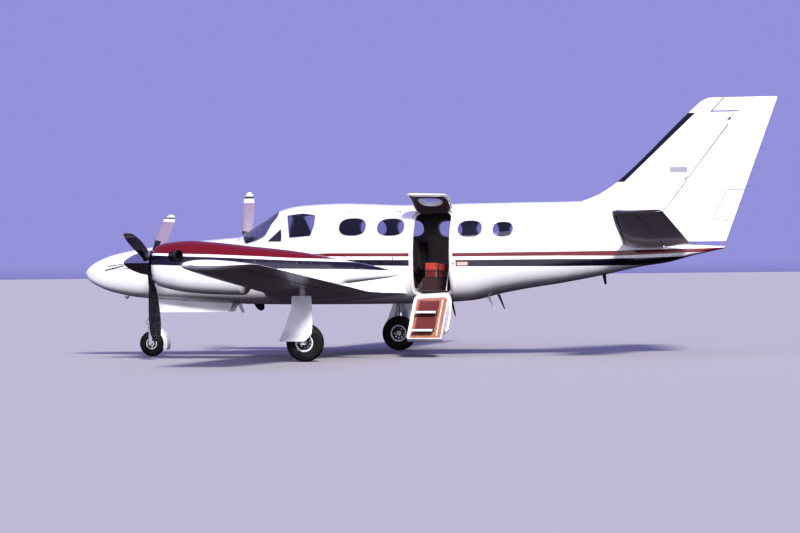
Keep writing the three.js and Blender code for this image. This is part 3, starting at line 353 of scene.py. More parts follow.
def unrolled(piece, stations, hoops):
    """UV map in metres: station along, and length round the hoop from its first point."""
    rings = hoops(stations, 180)
    step = np.linalg.norm(np.diff(rings, axis=1, append=rings[:, :1]), axis=2)
    length = np.concatenate([np.zeros((len(rings), 1)), np.cumsum(step, 1)[:, :-1]], 1)
    mesh = piece.data
    points = points_of(mesh)
    row = np.clip(np.searchsorted(stations, points[:, 0] - NOSE), 0, len(stations) - 1)
    gap = np.linalg.norm(rings[row][:, :, 1:] - points[:, None, 1:], axis=2)
    around = length[row, gap.argmin(1)]
    vertex = np.empty(len(mesh.loops), int)
    mesh.loops.foreach_get("vertex_index", vertex)
    uv = np.stack([points[vertex, 0] - NOSE, around[vertex]], 1)
    mesh.uv_layers.new(name="unrolled").data.foreach_set("uv", uv.ravel())
    return piece


def rounded(outline, radius, steps=7):
    """The outline with each corner replaced by a curve that leaves one edge at the radius, bends to the
    corner as (1-t)^2 a + 2t(1-t) corner + t^2 b, and joins the next edge."""
    p = np.asarray(outline, float)
    to_last, to_next = np.roll(p, 1, 0) - p, np.roll(p, -1, 0) - p
    far_last, far_next = (np.linalg.norm(v, axis=1, keepdims=True) for v in (to_last, to_next))
    reach = np.minimum(radius, 0.48 * np.minimum(far_last, far_next))
    a, b = p + to_last / far_last * reach, p + to_next / far_next * reach
    t = np.linspace(0, 1, steps)[:, None, None]
    curve = (1 - t) ** 2 * a + 2 * t * (1 - t) * p + t ** 2 * b
    return curve.transpose(1, 0, 2).reshape(-1, p.shape[1])


def prism(name, outline, direction, back, ahead, paint_index=0):
    """A closed bar with the outline as its section, from back behind it to ahead of it along a direction."""
    way = np.asarray(direction, float) / np.linalg.norm(direction)
    bar = lofted(name, np.stack([outline - back * way, outline + ahead * way]))
    bar.data.polygons.foreach_set("material_index", np.full(len(bar.data.polygons), paint_index, np.int32))
    return bar


# Windows: centre station, height, length and depth of each oval; corners of the flight deck's panes
OVALS_FORWARD = ((4.54, 1.972, 0.43, 0.275), (5.14, 1.962, 0.43, 0.27))
OVALS_AFT = ((6.365, 1.925, 0.37, 0.25), (6.865, 1.912, 0.31, 0.225))
OVAL_IN_DOOR = (5.775, 1.940, 0.38, 0.26)
SIDE_PANE = ((3.545, 1.815), (3.89, 1.84), (3.935, 2.0), (3.925, 2.165), (3.70, 2.195), (3.455, 2.165))
QUARTER_PANE = ((3.185, 1.765), (3.425, 1.76), (3.425, 1.86), (3.40, 1.965))
SCREEN_PANE = ((2.655, 0.03), (2.88, 0.026), (3.15, 0.03), (3.27, 0.23), (3.3, 0.42),
               (3.16, 0.598), (2.985, 0.585), (2.8, 0.545), (2.69, 0.3))
DOOR = dict(front=5.47, rear=6.08, sill=0.94, split=1.60, head=2.20, corner=0.09)


def oval_edge(oval, side, grow=0.0, count=56):
    """Outline of an oval on the skin: |x / a| ^ 2.5 + |z / b| ^ 2.5 = 1 in side view."""
    station, height, length, depth = oval
    a = 2 * math.pi * np.arange(count) / count
    c, s = np.cos(a), np.sin(a)
    x = np.sign(c) * np.abs(c) ** 0.8 * (length / 2 + grow)
    z = np.sign(s) * np.abs(s) ** 0.8 * (depth / 2 + grow)
    y = np.full(count, side * flush_half(station, height))
    return np.stack([station + NOSE + x, y, height + z], 1)


def side_edge(pane, side, radius=0.03):
    """Outline of a flat-sided pane on the skin, with rounded corners."""
    s, z = np.array(pane).T
    return rounded(np.stack([s + NOSE, side * flush_half(s, z), z], 1), radius)


def screen_edge(side, radius=0.05):
    """Outline of one half of the windscreen on the upper skin, with rounded corners."""
    s, y = np.array(SCREEN_PANE).T
    return rounded(np.stack([s + NOSE, side * y, flush_top(s, y)], 1), radius)


def port_plate(s1, s2, z1, z2, corner, y=-0.7):
    """Outline of a rectangle with rounded corners between two stations and two heights, in side view."""
    return rounded([(s + NOSE, y, z) for s, z in ((s2, z2), (s1, z2), (s1, z1), (s2, z1))], corner)


def door_edge(low, high, gap=0.0, corner=DOOR["corner"]):
    """Outline of a door leaf or of its opening, less a gap all round."""
    return port_plate(DOOR["front"] + gap, DOOR["rear"] - gap, low + gap, high - gap, corner)


def openings(side, paint_index, shrink=0.0, kinds=("screen", "side", "ovals", "door")):
    """The tools that cut the holes of one side of the cabin."""
    tools = []
    if "screen" in kinds:
        way = (-0.5, 0.45 * side, 0.74)
        tools.append(prism("tool", screen_edge(side), way, 0.19, 0.22, paint_index))
    if "side" in kinds:
        for pane in (SIDE_PANE, QUARTER_PANE):
            tools.append(prism("tool", side_edge(pane, side), (0, side, 0), 0.2, 0.2, paint_index))
    if "ovals" in kinds:
        ovals = OVALS_FORWARD + OVALS_AFT + ((OVAL_IN_DOOR,) if side > 0 else ())
        for oval in ovals:
            tools.append(prism("tool", oval_edge(oval, side, -shrink), (0, side, 0), 0.33, 0.33, paint_index))
    if "door" in kinds and side < 0:
        edge = door_edge(DOOR["sill"], DOOR["head"])
        tools.append(prism("tool", edge, (0, side, 0), 0.42, 0.33, paint_index))
    return tools


# Paint: height of each edge of the two lines along the body, against the station
RED_LINE = (
    # station, low edge, high edge
    (0.49, 1.430, 1.430), (1.0, 1.448, 1.460), (2.5, 1.500, 1.538), (4.2, 1.530, 1.580),
    (6.1, 1.510, 1.562), (7.7, 1.507, 1.567), (8.57, 1.497, 1.572),
    (9.3, 1.520, 1.588), (10.12, 1.560, 1.606),
)
BLUE_LINE = (
    (0.43, 1.362, 1.362), (1.0, 1.374, 1.392), (2.5, 1.388, 1.442), (4.2, 1.400, 1.480),
    (6.1, 1.362, 1.456), (7.7, 1.350, 1.456), (8.31, 1.350, 1.450),
    (9.3, 1.360, 1.470), (10.12, 1.380, 1.500),
)
WHITE = (0.86, 0.86, 0.855, 1)
RED = (0.15, 0.0015, 0.006, 1)
BLUE = (0.008, 0.004, 0.018, 1)


def height_of_edge(tree, x, stations, heights, zero=NOSE):
    """A socket with the height of a paint edge at x: straight lines between the table's points."""
    z0, z1 = min(heights) - 0.01, max(heights) + 0.01
    share = node(tree, "MapRange", From_Min=stations[0] + zero, From_Max=stations[-1] + zero)
    curve = node(tree, "FloatCurve")
    back = node(tree, "MapRange", To_Min=z0, To_Max=z1)
    points = curve.mapping.curves[0].points
    places = [((s - stations[0]) / (stations[-1] - stations[0]), (z - z0) / (z1 - z0))
              for s, z in zip(stations, heights)]
    points[0].location, points[1].location = places[0], places[-1]
    for place in places[1:-1]:
        points.new(*place)
    for point in points:
        point.handle_type = "VECTOR"
    curve.mapping.update()
    tree.links.new(x, share.inputs["Value"])
    tree.links.new(share.outputs["Result"], curve.inputs["Value"])
    tree.links.new(curve.outputs["Value"], back.inputs["Value"])
    return back.outputs["Result"]


def sums(tree, operation, a, b):
    """One Math node; a and b are sockets or numbers."""
    made = node(tree, "Math", operation=operation)
    for socket, value in zip(made.inputs, (a, b)):
        if isinstance(value, (int, float)):
            socket.default_value = value
        else:
            tree.links.new(value, socket)
    return made.outputs[0]


def between(tree, value, low, high, soft=0.0012):
    """1 where low < value < high, with a soft edge of a millimetre or so, and 0 elsewhere."""
    inside = sums(tree, "MINIMUM", sums(tree, "SUBTRACT", value, low), sums(tree, "SUBTRACT", high, value))
    edge = node(tree, "MapRange", From_Min=-soft, From_Max=soft)
    tree.links.new(inside, edge.inputs["Value"])
    return edge.outputs["Result"]


def painted_over(tree, under, colour, mask):
    """The under colour, or socket, with another colour laid over it where the mask is 1."""
    mix = node(tree, "Mix", data_type="RGBA")
    for socket, value in ((mix.inputs[6], under), (mix.inputs[7], colour)):
        if isinstance(value, tuple):
            socket.default_value = value
        else:
            tree.links.new(value, socket)
    tree.links.new(mask, mix.inputs[0])
    return mix.outputs[2]


def axes_of(tree):
    """Sockets of x, y and z in the part's own frame."""
    split = node(tree, "SeparateXYZ")
    tree.links.new(node(tree, "TexCoord").outputs["Object"], split.inputs[0])
    return split.outputs


def weathered(tree, shader, colour, streaks=0.035, orange_peel=0.04):
    """Lays a faint uneven tone over a colour socket, and gives the gloss its spread and its orange peel."""
    tone = painted_over(tree, (1, 1, 1, 1), (1 - streaks * 2, 1 - streaks * 2, 1 - streaks * 2.2, 1),
                        mottle(tree, 2.3, 0.0, 1.0, 6))
    dim = node(tree, "Mix", data_type="RGBA", blend_type="MULTIPLY")
    dim.inputs[0].default_value = 1
    tree.links.new(tone, dim.inputs[7])
    if isinstance(colour, tuple):
        dim.inputs[6].default_value = colour
    else:
        tree.links.new(colour, dim.inputs[6])
    tree.links.new(dim.outputs[2], shader.inputs["Base Color"])
    tree.links.new(mottle(tree, 9, 0.2, 0.34), shader.inputs["Roughness"])
    bump = node(tree, "Bump", Strength=orange_peel, Distance=0.002)
    tree.links.new(mottle(tree, 60, 0, 1, 2), bump.inputs["Height"])
    tree.links.new(bump.outputs["Normal"], shader.inputs["Normal"])
    return bump


def unrolled_axes(tree):
    """Sockets of the unrolled map: metres along, and metres round."""
    place = node(tree, "UVMap", uv_map="unrolled")
    split = node(tree, "SeparateXYZ")
    tree.links.new(place.outputs["UV"], split.inputs[0])
    return split.outputs[0], split.outputs[1]


def seams_and_rivets(tree, bump, along, across, frames, stringers):
    """Grooves at every frame, and rivet heads 25 mm apart along frames and stringers, from two sockets in
    metres: a rivet is a low dome where both distances to the nearest row are under 2 mm."""
    to_frame = sums(tree, "PINGPONG", along, frames / 2)
    to_stringer = sums(tree, "PINGPONG", across, stringers / 2)
    pitch_along, pitch_round = (sums(tree, "PINGPONG", v, 0.0125) for v in (along, across))
    lane = sums(tree, "ABSOLUTE", sums(tree, "SUBTRACT", to_frame, 0.012), 0)
    dots = []
    for off, pitch in ((lane, pitch_round), (to_stringer, pitch_along)):
        distance = sums(tree, "SQRT", sums(tree, "ADD", sums(tree, "MULTIPLY", off, off),
                                           sums(tree, "MULTIPLY", pitch, pitch)), 0)
        dome = node(tree, "MapRange", From_Min=0.0008, From_Max=0.0024, To_Min=1, To_Max=0)
        tree.links.new(distance, dome.inputs["Value"])
        dots.append(dome.outputs["Result"])
    groove = node(tree, "MapRange", From_Min=0.0004, From_Max=0.0012, To_Min=-1.5, To_Max=0)
    tree.links.new(to_frame, groove.inputs["Value"])
    height = sums(tree, "ADD", sums(tree, "MAXIMUM", *dots), groove.outputs["Result"])
    seams = node(tree, "Bump", Strength=0.35, Distance=0.0008)
    tree.links.new(height, seams.inputs["Height"])
    tree.links.new(bump.outputs["Normal"], seams.inputs["Normal"])
    return seams.outputs["Normal"]


def lined(tree, colour, x, z, lines):
    """Paint lines along the body, each between its two edges and aft of where it starts."""
    for line, ink in lines:
        stations, low, high = zip(*line)
        edges = [height_of_edge(tree, x, stations, heights) for heights in (low, high)]
        started = sums(tree, "GREATER_THAN", x, stations[0] + NOSE)
        colour = painted_over(tree, colour, ink, sums(tree, "MULTIPLY", between(tree, z, *edges), started))
    return colour


BODY_LINES = ((RED_LINE, RED), (BLUE_LINE, BLUE))
fuselage_paint, tree, shader = coating("fuselage_paint", Coat_Weight=0.25, Coat_Roughness=0.08)
x, y, z = axes_of(tree)
colour = lined(tree, WHITE, x, z, BODY_LINES)
# Corner marks of the emergency exit, on both sides of the cabin
MARK_INK = (0.05, 0.05, 0.06, 1)
EXIT_MARKS = (
    # stations, heights, colour
    ((4.449, 4.459), (2.172, 2.226), MARK_INK), ((4.449, 4.545), (2.217, 2.226), MARK_INK),
    ((5.239, 5.249), (2.152, 2.210), MARK_INK), ((5.160, 5.249), (2.201, 2.210), MARK_INK),
    ((4.424, 4.436), (1.478, 1.532), RED), ((5.182, 5.194), (1.458, 1.514), RED),
    ((5.135, 5.21), (1.452, 1.466), RED),
)
for (s0, s1), (z0, z1), ink in EXIT_MARKS:
    mark = sums(tree, "MULTIPLY", between(tree, x, s0 + NOSE, s1 + NOSE), between(tree, z, z0, z1))
    colour = painted_over(tree, colour, ink, mark)
bump = weathered(tree, shader, colour)
tree.links.new(seams_and_rivets(tree, bump, *unrolled_axes(tree), 0.9, 0.21), shader.inputs["Normal"])

trim_paint = uneven("cabin_lining", (0.15, 0.13, 0.125, 1), (22, 0.7, 0.95))
bay_paint = uneven("bay_primer", (0.24, 0.26, 0.20, 1), (14, 0.5, 0.75))
reveal_paint = uneven("window_reveal", (0.40, 0.39, 0.41, 1), (30, 0.4, 0.55))

skin_hoops, skin_field = oval_body(FUSELAGE, 0.0, (ROOF, BELLY))
nose_stations = np.concatenate([0.004 + 0.26 * np.linspace(0, 1, 40) ** 2, np.arange(0.3, NOSE_END, 0.035),
                                [NOSE_END]])
nose = lofted("nose_skin", skin_hoops(nose_stations, HOOP), paint=(fuselage_paint, bay_paint))
well = [(s + NOSE, y, 0) for s, y in ((0.93, 0.15), (2.18, 0.15), (2.18, -0.15), (0.93, -0.15))]
carved(nose, prism("tool", rounded(well, 0.02), (0, 0, 1), -0.5, 1.06, 1))
faired(unrolled(nose, nose_stations, skin_hoops), skin_field)
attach(nose, "airframe")
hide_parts("nose_section")

cabin_stations = np.append(np.arange(NOSE_END + 0.0003, CABIN_END, 0.04), CABIN_END)
cabin = closed_shell("cabin_skin", skin_hoops(cabin_stations, HOOP), skin_hoops(cabin_stations, HOOP, WALL),
                     (fuselage_paint, trim_paint, reveal_paint))
carved(cabin, merged("tool", openings(-1, 2) + openings(1, 2)))
faired(unrolled(cabin, cabin_stations, skin_hoops), skin_field)
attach(cabin, "airframe")
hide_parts("cabin_shell_forward", "cabin_shell_centre", "cabin_shell_door", "cabin_shell_aft")

tail_stations = np.append(np.arange(CABIN_END + 0.0003, 10.12, 0.04), 10.12)
tail = lofted("tail_skin", skin_hoops(tail_stations, HOOP), paint=(fuselage_paint,))
faired(unrolled(tail, tail_stations, skin_hoops), skin_field)
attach(tail, "airframe")
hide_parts("tail_section")


# Wings
# Each wing is one riveted aluminium box on two spars, with a tip cap and a curved root fairing.
# Rubber boots are glued on the leading edge. Flaps and an aileron hang in bays along the rear spar.
WING = np.array([
    # distance out, leading edge, trailing edge
    (0.30, 3.08, 5.42), (0.76, 3.18, 5.33), (0.90, 3.22, 5.06), (1.18, 3.29, 4.90), (1.98, 3.455, 4.90),
    (2.75, 3.505, 4.90), (6.48, 3.788, 4.90), (6.64, 3.83, 4.892), (6.725, 3.99, 4.84),
])
WING_HEIGHT, DIHEDRAL, WING_DEPTH = 0.915, 0.0755, 0.14
FLAP_HINGE, AILERON_HINGE = 4.59, 4.61
FLAP_BAYS = {"inboard": (1.19, 2.03), "outboard": (2.62, 4.56)}
AILERON_BAY = (4.62, 6.42)
BAY_GAP = 0.006
BOOT = (0.007, 0.006, 0.008, 1)
SIDES = {"left": -1, "right": 1}


def aerofoil_half(t, depth):
    """Half thickness over chord, 5 d (0.2969 sqrt(t) - 0.126 t - 0.3516 t^2 + 0.2843 t^3 - 0.1036 t^4),
    and never under 0.0022 aft of the nose, so that the trailing edge has a real edge."""
    rise = 0.2969 * np.sqrt(t) - 0.126 * t - 0.3516 * t ** 2 + 0.2843 * t ** 3 - 0.1036 * t ** 4
    return np.maximum(5 * depth * rise, 0.0022 * np.minimum(t * 40, 1))


def aerofoil_rings(spans, front, rear, depth, place, count=30):
    """Rings of a symmetrical section: t = (1 + cos a) / 2 runs from the trailing edge over the top to the
    nose and back below, x = front + t * chord, and up = plus or minus half the thickness."""
    a = np.concatenate([np.linspace(0, math.pi, count), np.linspace(math.pi, 2 * math.pi, count)[1:]])
    t = ((1 + np.cos(a)) / 2)[None, :]
    sign = np.where(np.arange(len(a)) < count, 1, -1)[None, :]
    chord = (rear - front)[:, None]
    up = sign * aerofoil_half(t, depth[:, None]) * chord
    return place(front[:, None] + t * chord, up, spans[:, None])


def hinged_rings(spans, front, rear, depth, hinge, place, count=16, lean=1.0):
    """Rings of what lies aft of a hinge: the section's top and bottom from the trailing edge to the hinge,
    joined by half a circle about the hinge; lean stretches it along x where the hinge leans."""
    chord = (rear - front)[:, None]
    t_hinge = (hinge[:, None] - front[:, None]) / chord
    share = np.linspace(0, 1, count)[None, :]
    t = 1 - share * (1 - t_hinge)
    top = aerofoil_half(t, depth[:, None]) * chord
    radius = top[:, -1:]
    a = np.linspace(math.pi / 2, 3 * math.pi / 2, 15)[1:-1][None, :]
    x = np.concatenate([front[:, None] + t * chord, hinge[:, None] + lean * radius * np.cos(a),
                        (front[:, None] + t * chord)[:, ::-1]], 1)
    up = np.concatenate([top, radius * np.sin(a), -top[:, ::-1]], 1)
    return place(x, up, spans[:, None])


def on_wing(side):
    """Places x, up and span in the frame, on the wing's own dihedral."""
    return lambda x, up, span: np.stack(np.broadcast_arrays(
        x + NOSE, side * span, WING_HEIGHT + DIHEDRAL * span + up), -1)


def wing_shape(spans):
    """Leading edge, trailing edge and depth of the wing at each span; the depth falls away at the tip as
    a quarter of an ellipse, and inside the root fairing it is a fifth less."""
    front, rear = fair(WING[:, 0], WING[:, 1])(spans), fair(WING[:, 0], WING[:, 2])(spans)
    into_tip = np.clip((spans - 6.60) / 0.125, 0, 1)
    root = np.interp(spans, [0.9, 1.1], [0.8, 1.0])
    return front, rear, WING_DEPTH * root * np.maximum(np.sqrt(1 - into_tip ** 2), 0.30)


def bay_room(side, bay, hinge, shape, place, gap, flare=0.0, inner_aft=None):
    """The space that a hinged surface turns in: a round nose along the hinge and all that lies aft of it."""
    spans = np.array([bay[0] - gap, bay[1] + gap])
    front, rear, depth = shape(spans)
    chord = rear - front
    radius = aerofoil_half((hinge - front) / chord, depth) * chord + gap
    a = 2 * math.pi * np.arange(28) / 28
    radius = radius[:, None]
    nose = lofted("tool", place(hinge + radius * np.cos(a), radius * np.sin(a), spans[:, None]))
    inner = spans[0] if inner_aft is None else inner_aft - gap
    plan = np.array([(hinge, spans[0]), (hinge, spans[1]), (hinge + 1, spans[1] + flare), (hinge + 1, inner)])
    outline = np.stack([plan[:, 0] + NOSE, side * plan[:, 1], np.zeros(4)], 1)
    return carved(nose, prism("tool", outline, (0, 0, 1), 0, 4), "UNION")


def booted_paint(name, spans, fronts, width, along, zero=0.0, across=None, breaks=()):
    """White paint with rivets, and a black boot from the nose back to width, over the spans of the table.
    along names the axis of the span, and so of the rivets' rows; across is not used."""
    material, tree, shader = coating(name, Coat_Weight=0.45, Coat_Roughness=0.1)
    axes = axes_of(tree)
    span = sums(tree, "ABSOLUTE", axes[along], 0)
    edge = height_of_edge(tree, span, spans, [f + NOSE + width for f in fronts], zero)
    in_span = between(tree, span, spans[0], spans[-1])
    booted = sums(tree, "MULTIPLY", sums(tree, "LESS_THAN", axes[0], edge), in_span)
    for low, high in breaks:
        gap = sums(tree, "SUBTRACT", 1, between(tree, span, low, high))
        booted = sums(tree, "MULTIPLY", booted, gap)
    bump = weathered(tree, shader, painted_over(tree, WHITE, BOOT, booted))
    tree.links.new(seams_and_rivets(tree, bump, span, axes[0], 0.9, 0.28), shader.inputs["Normal"])
    rough = node(tree, "MapRange", To_Min=0.27, To_Max=0.5)
    tree.links.new(booted, rough.inputs["Value"])
    tree.links.new(rough.outputs["Result"], shader.inputs["Roughness"])
    return material


wing_paint = booted_paint("wing_paint", (0.95, 1.18, 1.98, 2.75, 6.45), (3.23, 3.29, 3.455, 3.505, 3.786),
                          0.075, 1)
# Near black for the cut walls of the bays, gaps and notches: painted shade in the gaps between moving and
# fixed surfaces.
bay_wall_shade = uneven("bay_wall_shade", (0.07, 0.07, 0.075, 1), (18, 0.6, 0.85))


def in_second_paint(tool):
    """A cutting tool whose faces, and so the walls that it leaves, take the second paint."""
    tool.data.polygons.foreach_set("material_index", np.ones(len(tool.data.polygons), np.int32))
    return tool


def solid_fuselage(inset):
    """The fuselage as one closed body, to cut what meets it."""
    stations = np.arange(0.1, 10.11, 0.07)
    return lofted("tool", skin_hoops(stations, 96, inset))


wing_spans = np.concatenate([np.linspace(0.30, 1.3, 30), np.linspace(1.4, 6.5, 30), 6.60 + 0.125 * np.sin(
    np.linspace(0, math.pi / 2, 12))])
for name, side in SIDES.items():
    wing = lofted(f"wing_{name}_skin", aerofoil_rings(wing_spans, *wing_shape(wing_spans), on_wing(side)),
                  paint=(wing_paint, bay_wall_shade))
    for bay, hinge in ((FLAP_BAYS["inboard"], FLAP_HINGE), (FLAP_BAYS["outboard"], FLAP_HINGE),
                       (AILERON_BAY, AILERON_HINGE)):
        room = bay_room(side, bay, hinge, wing_shape, on_wing(side), BAY_GAP)
        carved(wing, in_second_paint(room))
    carved(wing, solid_fuselage(0.004))
    faired(wing, angle=28)
    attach(wing, "airframe")
    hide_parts(f"wing_{name}")
    moving = [(f"flap_{name}_{bay}", FLAP_BAYS[bay], FLAP_HINGE, f"flap_{name}_body") for bay in FLAP_BAYS]
    moving.append((f"aileron_{name}", AILERON_BAY, AILERON_HINGE, f"aileron_{name}_body"))
    for node_name, bay, hinge, body in moving:
        spans = np.linspace(*bay, 24)
        rings = hinged_rings(spans, *wing_shape(spans), np.full(24, hinge), on_wing(side))
        surface = lofted(f"{node_name}_skin", rings, paint=(wing_paint,))
        faired(surface, angle=28)
        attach(surface, body)
        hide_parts(node_name)


# Tailplanes and elevators
# Tapered aluminium surfaces with marked dihedral, booted in front; the elevators hang on the rear spar,
# and their inner ends slant outwards to clear the rudder.
TAILPLANE = np.array([(0.06, 8.605, 9.65), (2.66, 8.905, 9.645), (2.83, 8.945, 9.64), (2.90, 9.04, 9.61)])
TAIL_HEIGHT, TAIL_SLOPE, TAIL_DEPTH = 1.612, 0.18, 0.10
ELEVATOR_HINGE, ELEVATOR_BAY, ELEVATOR_CUTOUT, TIP_FLARE = 9.28, (0.25, 2.79), 0.40, 0.06


def on_tail(side):
    """Places x, up and span in the frame, on the tailplane's own slope."""
    return lambda x, up, span: np.stack(np.broadcast_arrays(
        x + NOSE, side * span, TAIL_HEIGHT + TAIL_SLOPE * span + up), -1)


def tailplane_shape(spans):
    """Leading edge, trailing edge and depth of the tailplane; the depth rounds off over the last 90 mm."""
    front, rear = (fair(TAILPLANE[:, 0], TAILPLANE[:, k])(spans) for k in (1, 2))
    into_tip = np.clip((spans - 2.81) / 0.09, 0, 1)
    return front, rear, TAIL_DEPTH * np.maximum(np.sqrt(1 - into_tip ** 2), 0.30)


tail_paint = booted_paint("tailplane_paint", (0.42, 2.66), (8.647, 8.905), 0.065, 1)
tail_spans = np.concatenate([np.linspace(0.06, 2.75, 30),
                             2.81 + 0.09 * np.sin(np.linspace(0, math.pi / 2, 10))])
for name, side in SIDES.items():
    stabiliser = lofted(f"tailplane_{name}_skin",
                        aerofoil_rings(tail_spans, *tailplane_shape(tail_spans), on_tail(side)),
                        paint=(tail_paint, bay_wall_shade))
    room = bay_room(side, ELEVATOR_BAY, ELEVATOR_HINGE, tailplane_shape, on_tail(side), BAY_GAP, TIP_FLARE,
                    ELEVATOR_CUTOUT)
    root = np.array([(9.22, 0), (9.22, 0.33), (9.7, 0.33), (9.7, 0)])
    outline = np.stack([root[:, 0] + NOSE, side * root[:, 1], np.full(4, 1.5)], 1)
    carved(room, prism("tool", outline, (0, 0, 1), 0, 0.3), "UNION")
    carved(stabiliser, in_second_paint(room))
    carved(stabiliser, solid_fuselage(0.003))
    faired(stabiliser, angle=28)
    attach(stabiliser, "airframe")
    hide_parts(f"tailplane_{name}")
    spans = np.linspace(*ELEVATOR_BAY, 30)
    rings = hinged_rings(spans, *tailplane_shape(spans), np.full(30, ELEVATOR_HINGE), on_tail(side))
    elevator = lofted(f"elevator_{name}_skin", rings, paint=(tail_paint,))
    cut = rounded([(9.28, 0.10), (9.28, 0.25), (10.28, 0.40), (10.28, 0.10)], 0.002)
    outline = np.stack([cut[:, 0] + NOSE, side * cut[:, 1], np.full(len(cut), 1.2)], 1)
    carved(elevator, prism("tool", outline, (0, 0, 1), 0, 2))
    faired(elevator, angle=28)
    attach(elevator, f"elevator_{name}_body")
    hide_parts(f"elevator_{name}")


# Fin and rudder
# A swept aluminium fin that grows out of a concave dorsal fairing, with a black boot on its edge.
# The rudder hangs on a leaning hinge line, and its balance horn reaches ahead over the fin's top.
FIN = np.array([
    # height, leading edge, trailing edge, thickness over chord
    (1.70, 7.30, 10.141, 0.054), (2.25, 7.72, 10.344, 0.062), (2.33, 7.97, 10.374, 0.066),
    (2.41, 8.19, 10.403, 0.070), (2.51, 8.365, 10.440, 0.073), (2.64, 8.545, 10.488, 0.075),
    (3.56, 9.525, 10.827, 0.085), (3.70, 9.68, 10.878, 0.085), (3.80, 9.80, 10.915, 0.075),
    (3.84, 9.90, 10.926, 0.05),
])
RUDDER_HINGE = np.array([(8.92, 1.72), (10.26, 3.48)])
RUDDER_LOW, HORN_LOW = 1.70, 3.645
HORN = dict(low=9.965, high=10.14, top=3.84, ahead=0.018, under=0.021)


def on_fin(x, up, span):
    """Places x, thickness and height in the frame, in the fin's own plane."""
    return np.stack(np.broadcast_arrays(x + NOSE, up, span), -1)


def fin_shape(heights):
    """Leading edge, trailing edge and depth of the fin at each height."""
    return tuple(fair(FIN[:, 0], FIN[:, k])(heights) for k in (1, 2, 3))


def hinge_station(z):
    """Station of the rudder's hinge line at a height."""
    (x0, z0), (x1, z1) = RUDDER_HINGE
    return x0 + (z - z0) * (x1 - x0) / (z1 - z0)


def side_plate(outline, half, paint_index=0):
    """A closed plate from an outline of station and height, to half on both sides of the middle plane."""
    p = np.array(outline)
    flat = np.stack([p[:, 0] + NOSE, np.zeros(len(p)), p[:, 1]], 1)
    return prism("tool", flat, (0, 1, 0), half, half, paint_index)


def rudder_room(gap, ahead=0.0, under=0.0):
    """The space of the rudder: a round nose on the leaning hinge, all aft of it, and the horn's room."""
    heights = np.array([RUDDER_LOW - gap - 0.012, 2.0, 2.3, 2.6, 2.9, 3.25, HORN_LOW + 0.05])
    front, rear, depth = fin_shape(heights)
    station = hinge_station(heights)
    radius = aerofoil_half((station - front) / (rear - front), depth) * (rear - front) + gap
    a = 2 * math.pi * np.arange(28) / 28
    rings = on_fin(station[:, None] + radius[:, None] * np.cos(a) / 0.796, radius[:, None] * np.sin(a),
                   heights[:, None])
    nose = lofted("tool", rings)
    low = HORN_LOW - under
    lean = under * (HORN["high"] - HORN["low"]) / (HORN["top"] - HORN_LOW)
    outline = [(hinge_station(heights[0]), heights[0]), (10.6, heights[0]), (11.4, 3.4), (11.4, 4.0),
               (HORN["high"] - ahead, 4.0), (HORN["high"] - ahead, HORN["top"]),
               (HORN["low"] - ahead - lean, low), (hinge_station(low), low)]
    return carved(nose, side_plate(outline, 0.3), "UNION")


def drawn_line(tree, x, z, start, end, width=0.0035):
    """1 on a thin line between two places in side view, and 0 elsewhere."""
    (x0, z0), (x1, z1) = start, end
    length = math.hypot(x1 - x0, z1 - z0)
    ux, uz = (x1 - x0) / length, (z1 - z0) / length
    dx, dz = sums(tree, "SUBTRACT", x, x0 + NOSE), sums(tree, "SUBTRACT", z, z0)
    along = sums(tree, "ADD", sums(tree, "MULTIPLY", dx, ux), sums(tree, "MULTIPLY", dz, uz))
    off = sums(tree, "SUBTRACT", sums(tree, "MULTIPLY", dz, ux), sums(tree, "MULTIPLY", dx, uz))
    return sums(tree, "MULTIPLY", between(tree, off, -width, width), between(tree, along, 0.0, length))


def fin_coat(name, boot):
    """The fin's white paint with its boot, its grey vent, a dark line of painted shade along the rudder's
    gap, the trim tab's seams and the rivets.
    """
    material, tree, shader = coating(name, Coat_Weight=0.45, Coat_Roughness=0.1)
    x, y, z = axes_of(tree)
    colour = WHITE
    if boot:
        edge = height_of_edge(tree, z, (2.605, 3.62), (8.505 + NOSE + 0.115, 9.59 + NOSE + 0.115), 0.0)
        booted = sums(tree, "MULTIPLY", sums(tree, "LESS_THAN", x, edge), between(tree, z, 2.605, 3.62))
        colour = painted_over(tree, colour, BOOT, booted)
        vent_length = between(tree, x, 9.31 + NOSE, 9.58 + NOSE)
        vent = sums(tree, "MULTIPLY", vent_length, between(tree, z, 2.73, 2.815))
        colour = painted_over(tree, colour, (0.30, 0.29, 0.35, 1), vent)
        # A dark line painted on the fin's edge along the rudder's hinge gap: painted shade in the gap.
        seam_and_gap_shade = drawn_line(tree, x, z, (8.962, 1.82), (10.199, 3.445), 0.008)
        colour = painted_over(tree, colour, (0.06, 0.055, 0.07, 1), seam_and_gap_shade)
    else:
        for start, end in (((10.17, 2.465), (10.43, 2.465)), ((10.17, 2.465), (9.93, 2.03)),
                           ((9.93, 2.03), (10.24, 1.99))):
            seam_and_gap_shade = drawn_line(tree, x, z, start, end, 0.005)
            colour = painted_over(tree, colour, (0.10, 0.09, 0.11, 1), seam_and_gap_shade)
    bump = weathered(tree, shader, colour)
    tree.links.new(seams_and_rivets(tree, bump, z, x, 0.62, 0.24), shader.inputs["Normal"])
    return material


fin_paint, rudder_paint = fin_coat("fin_paint", True), fin_coat("rudder_paint", False)
fin_heights = np.concatenate([[1.70, 1.9, 2.1], np.arange(2.2, 3.56, 0.03), np.linspace(3.56, 3.84, 14)])
whole_fin = aerofoil_rings(fin_heights, *fin_shape(fin_heights), on_fin, 34)
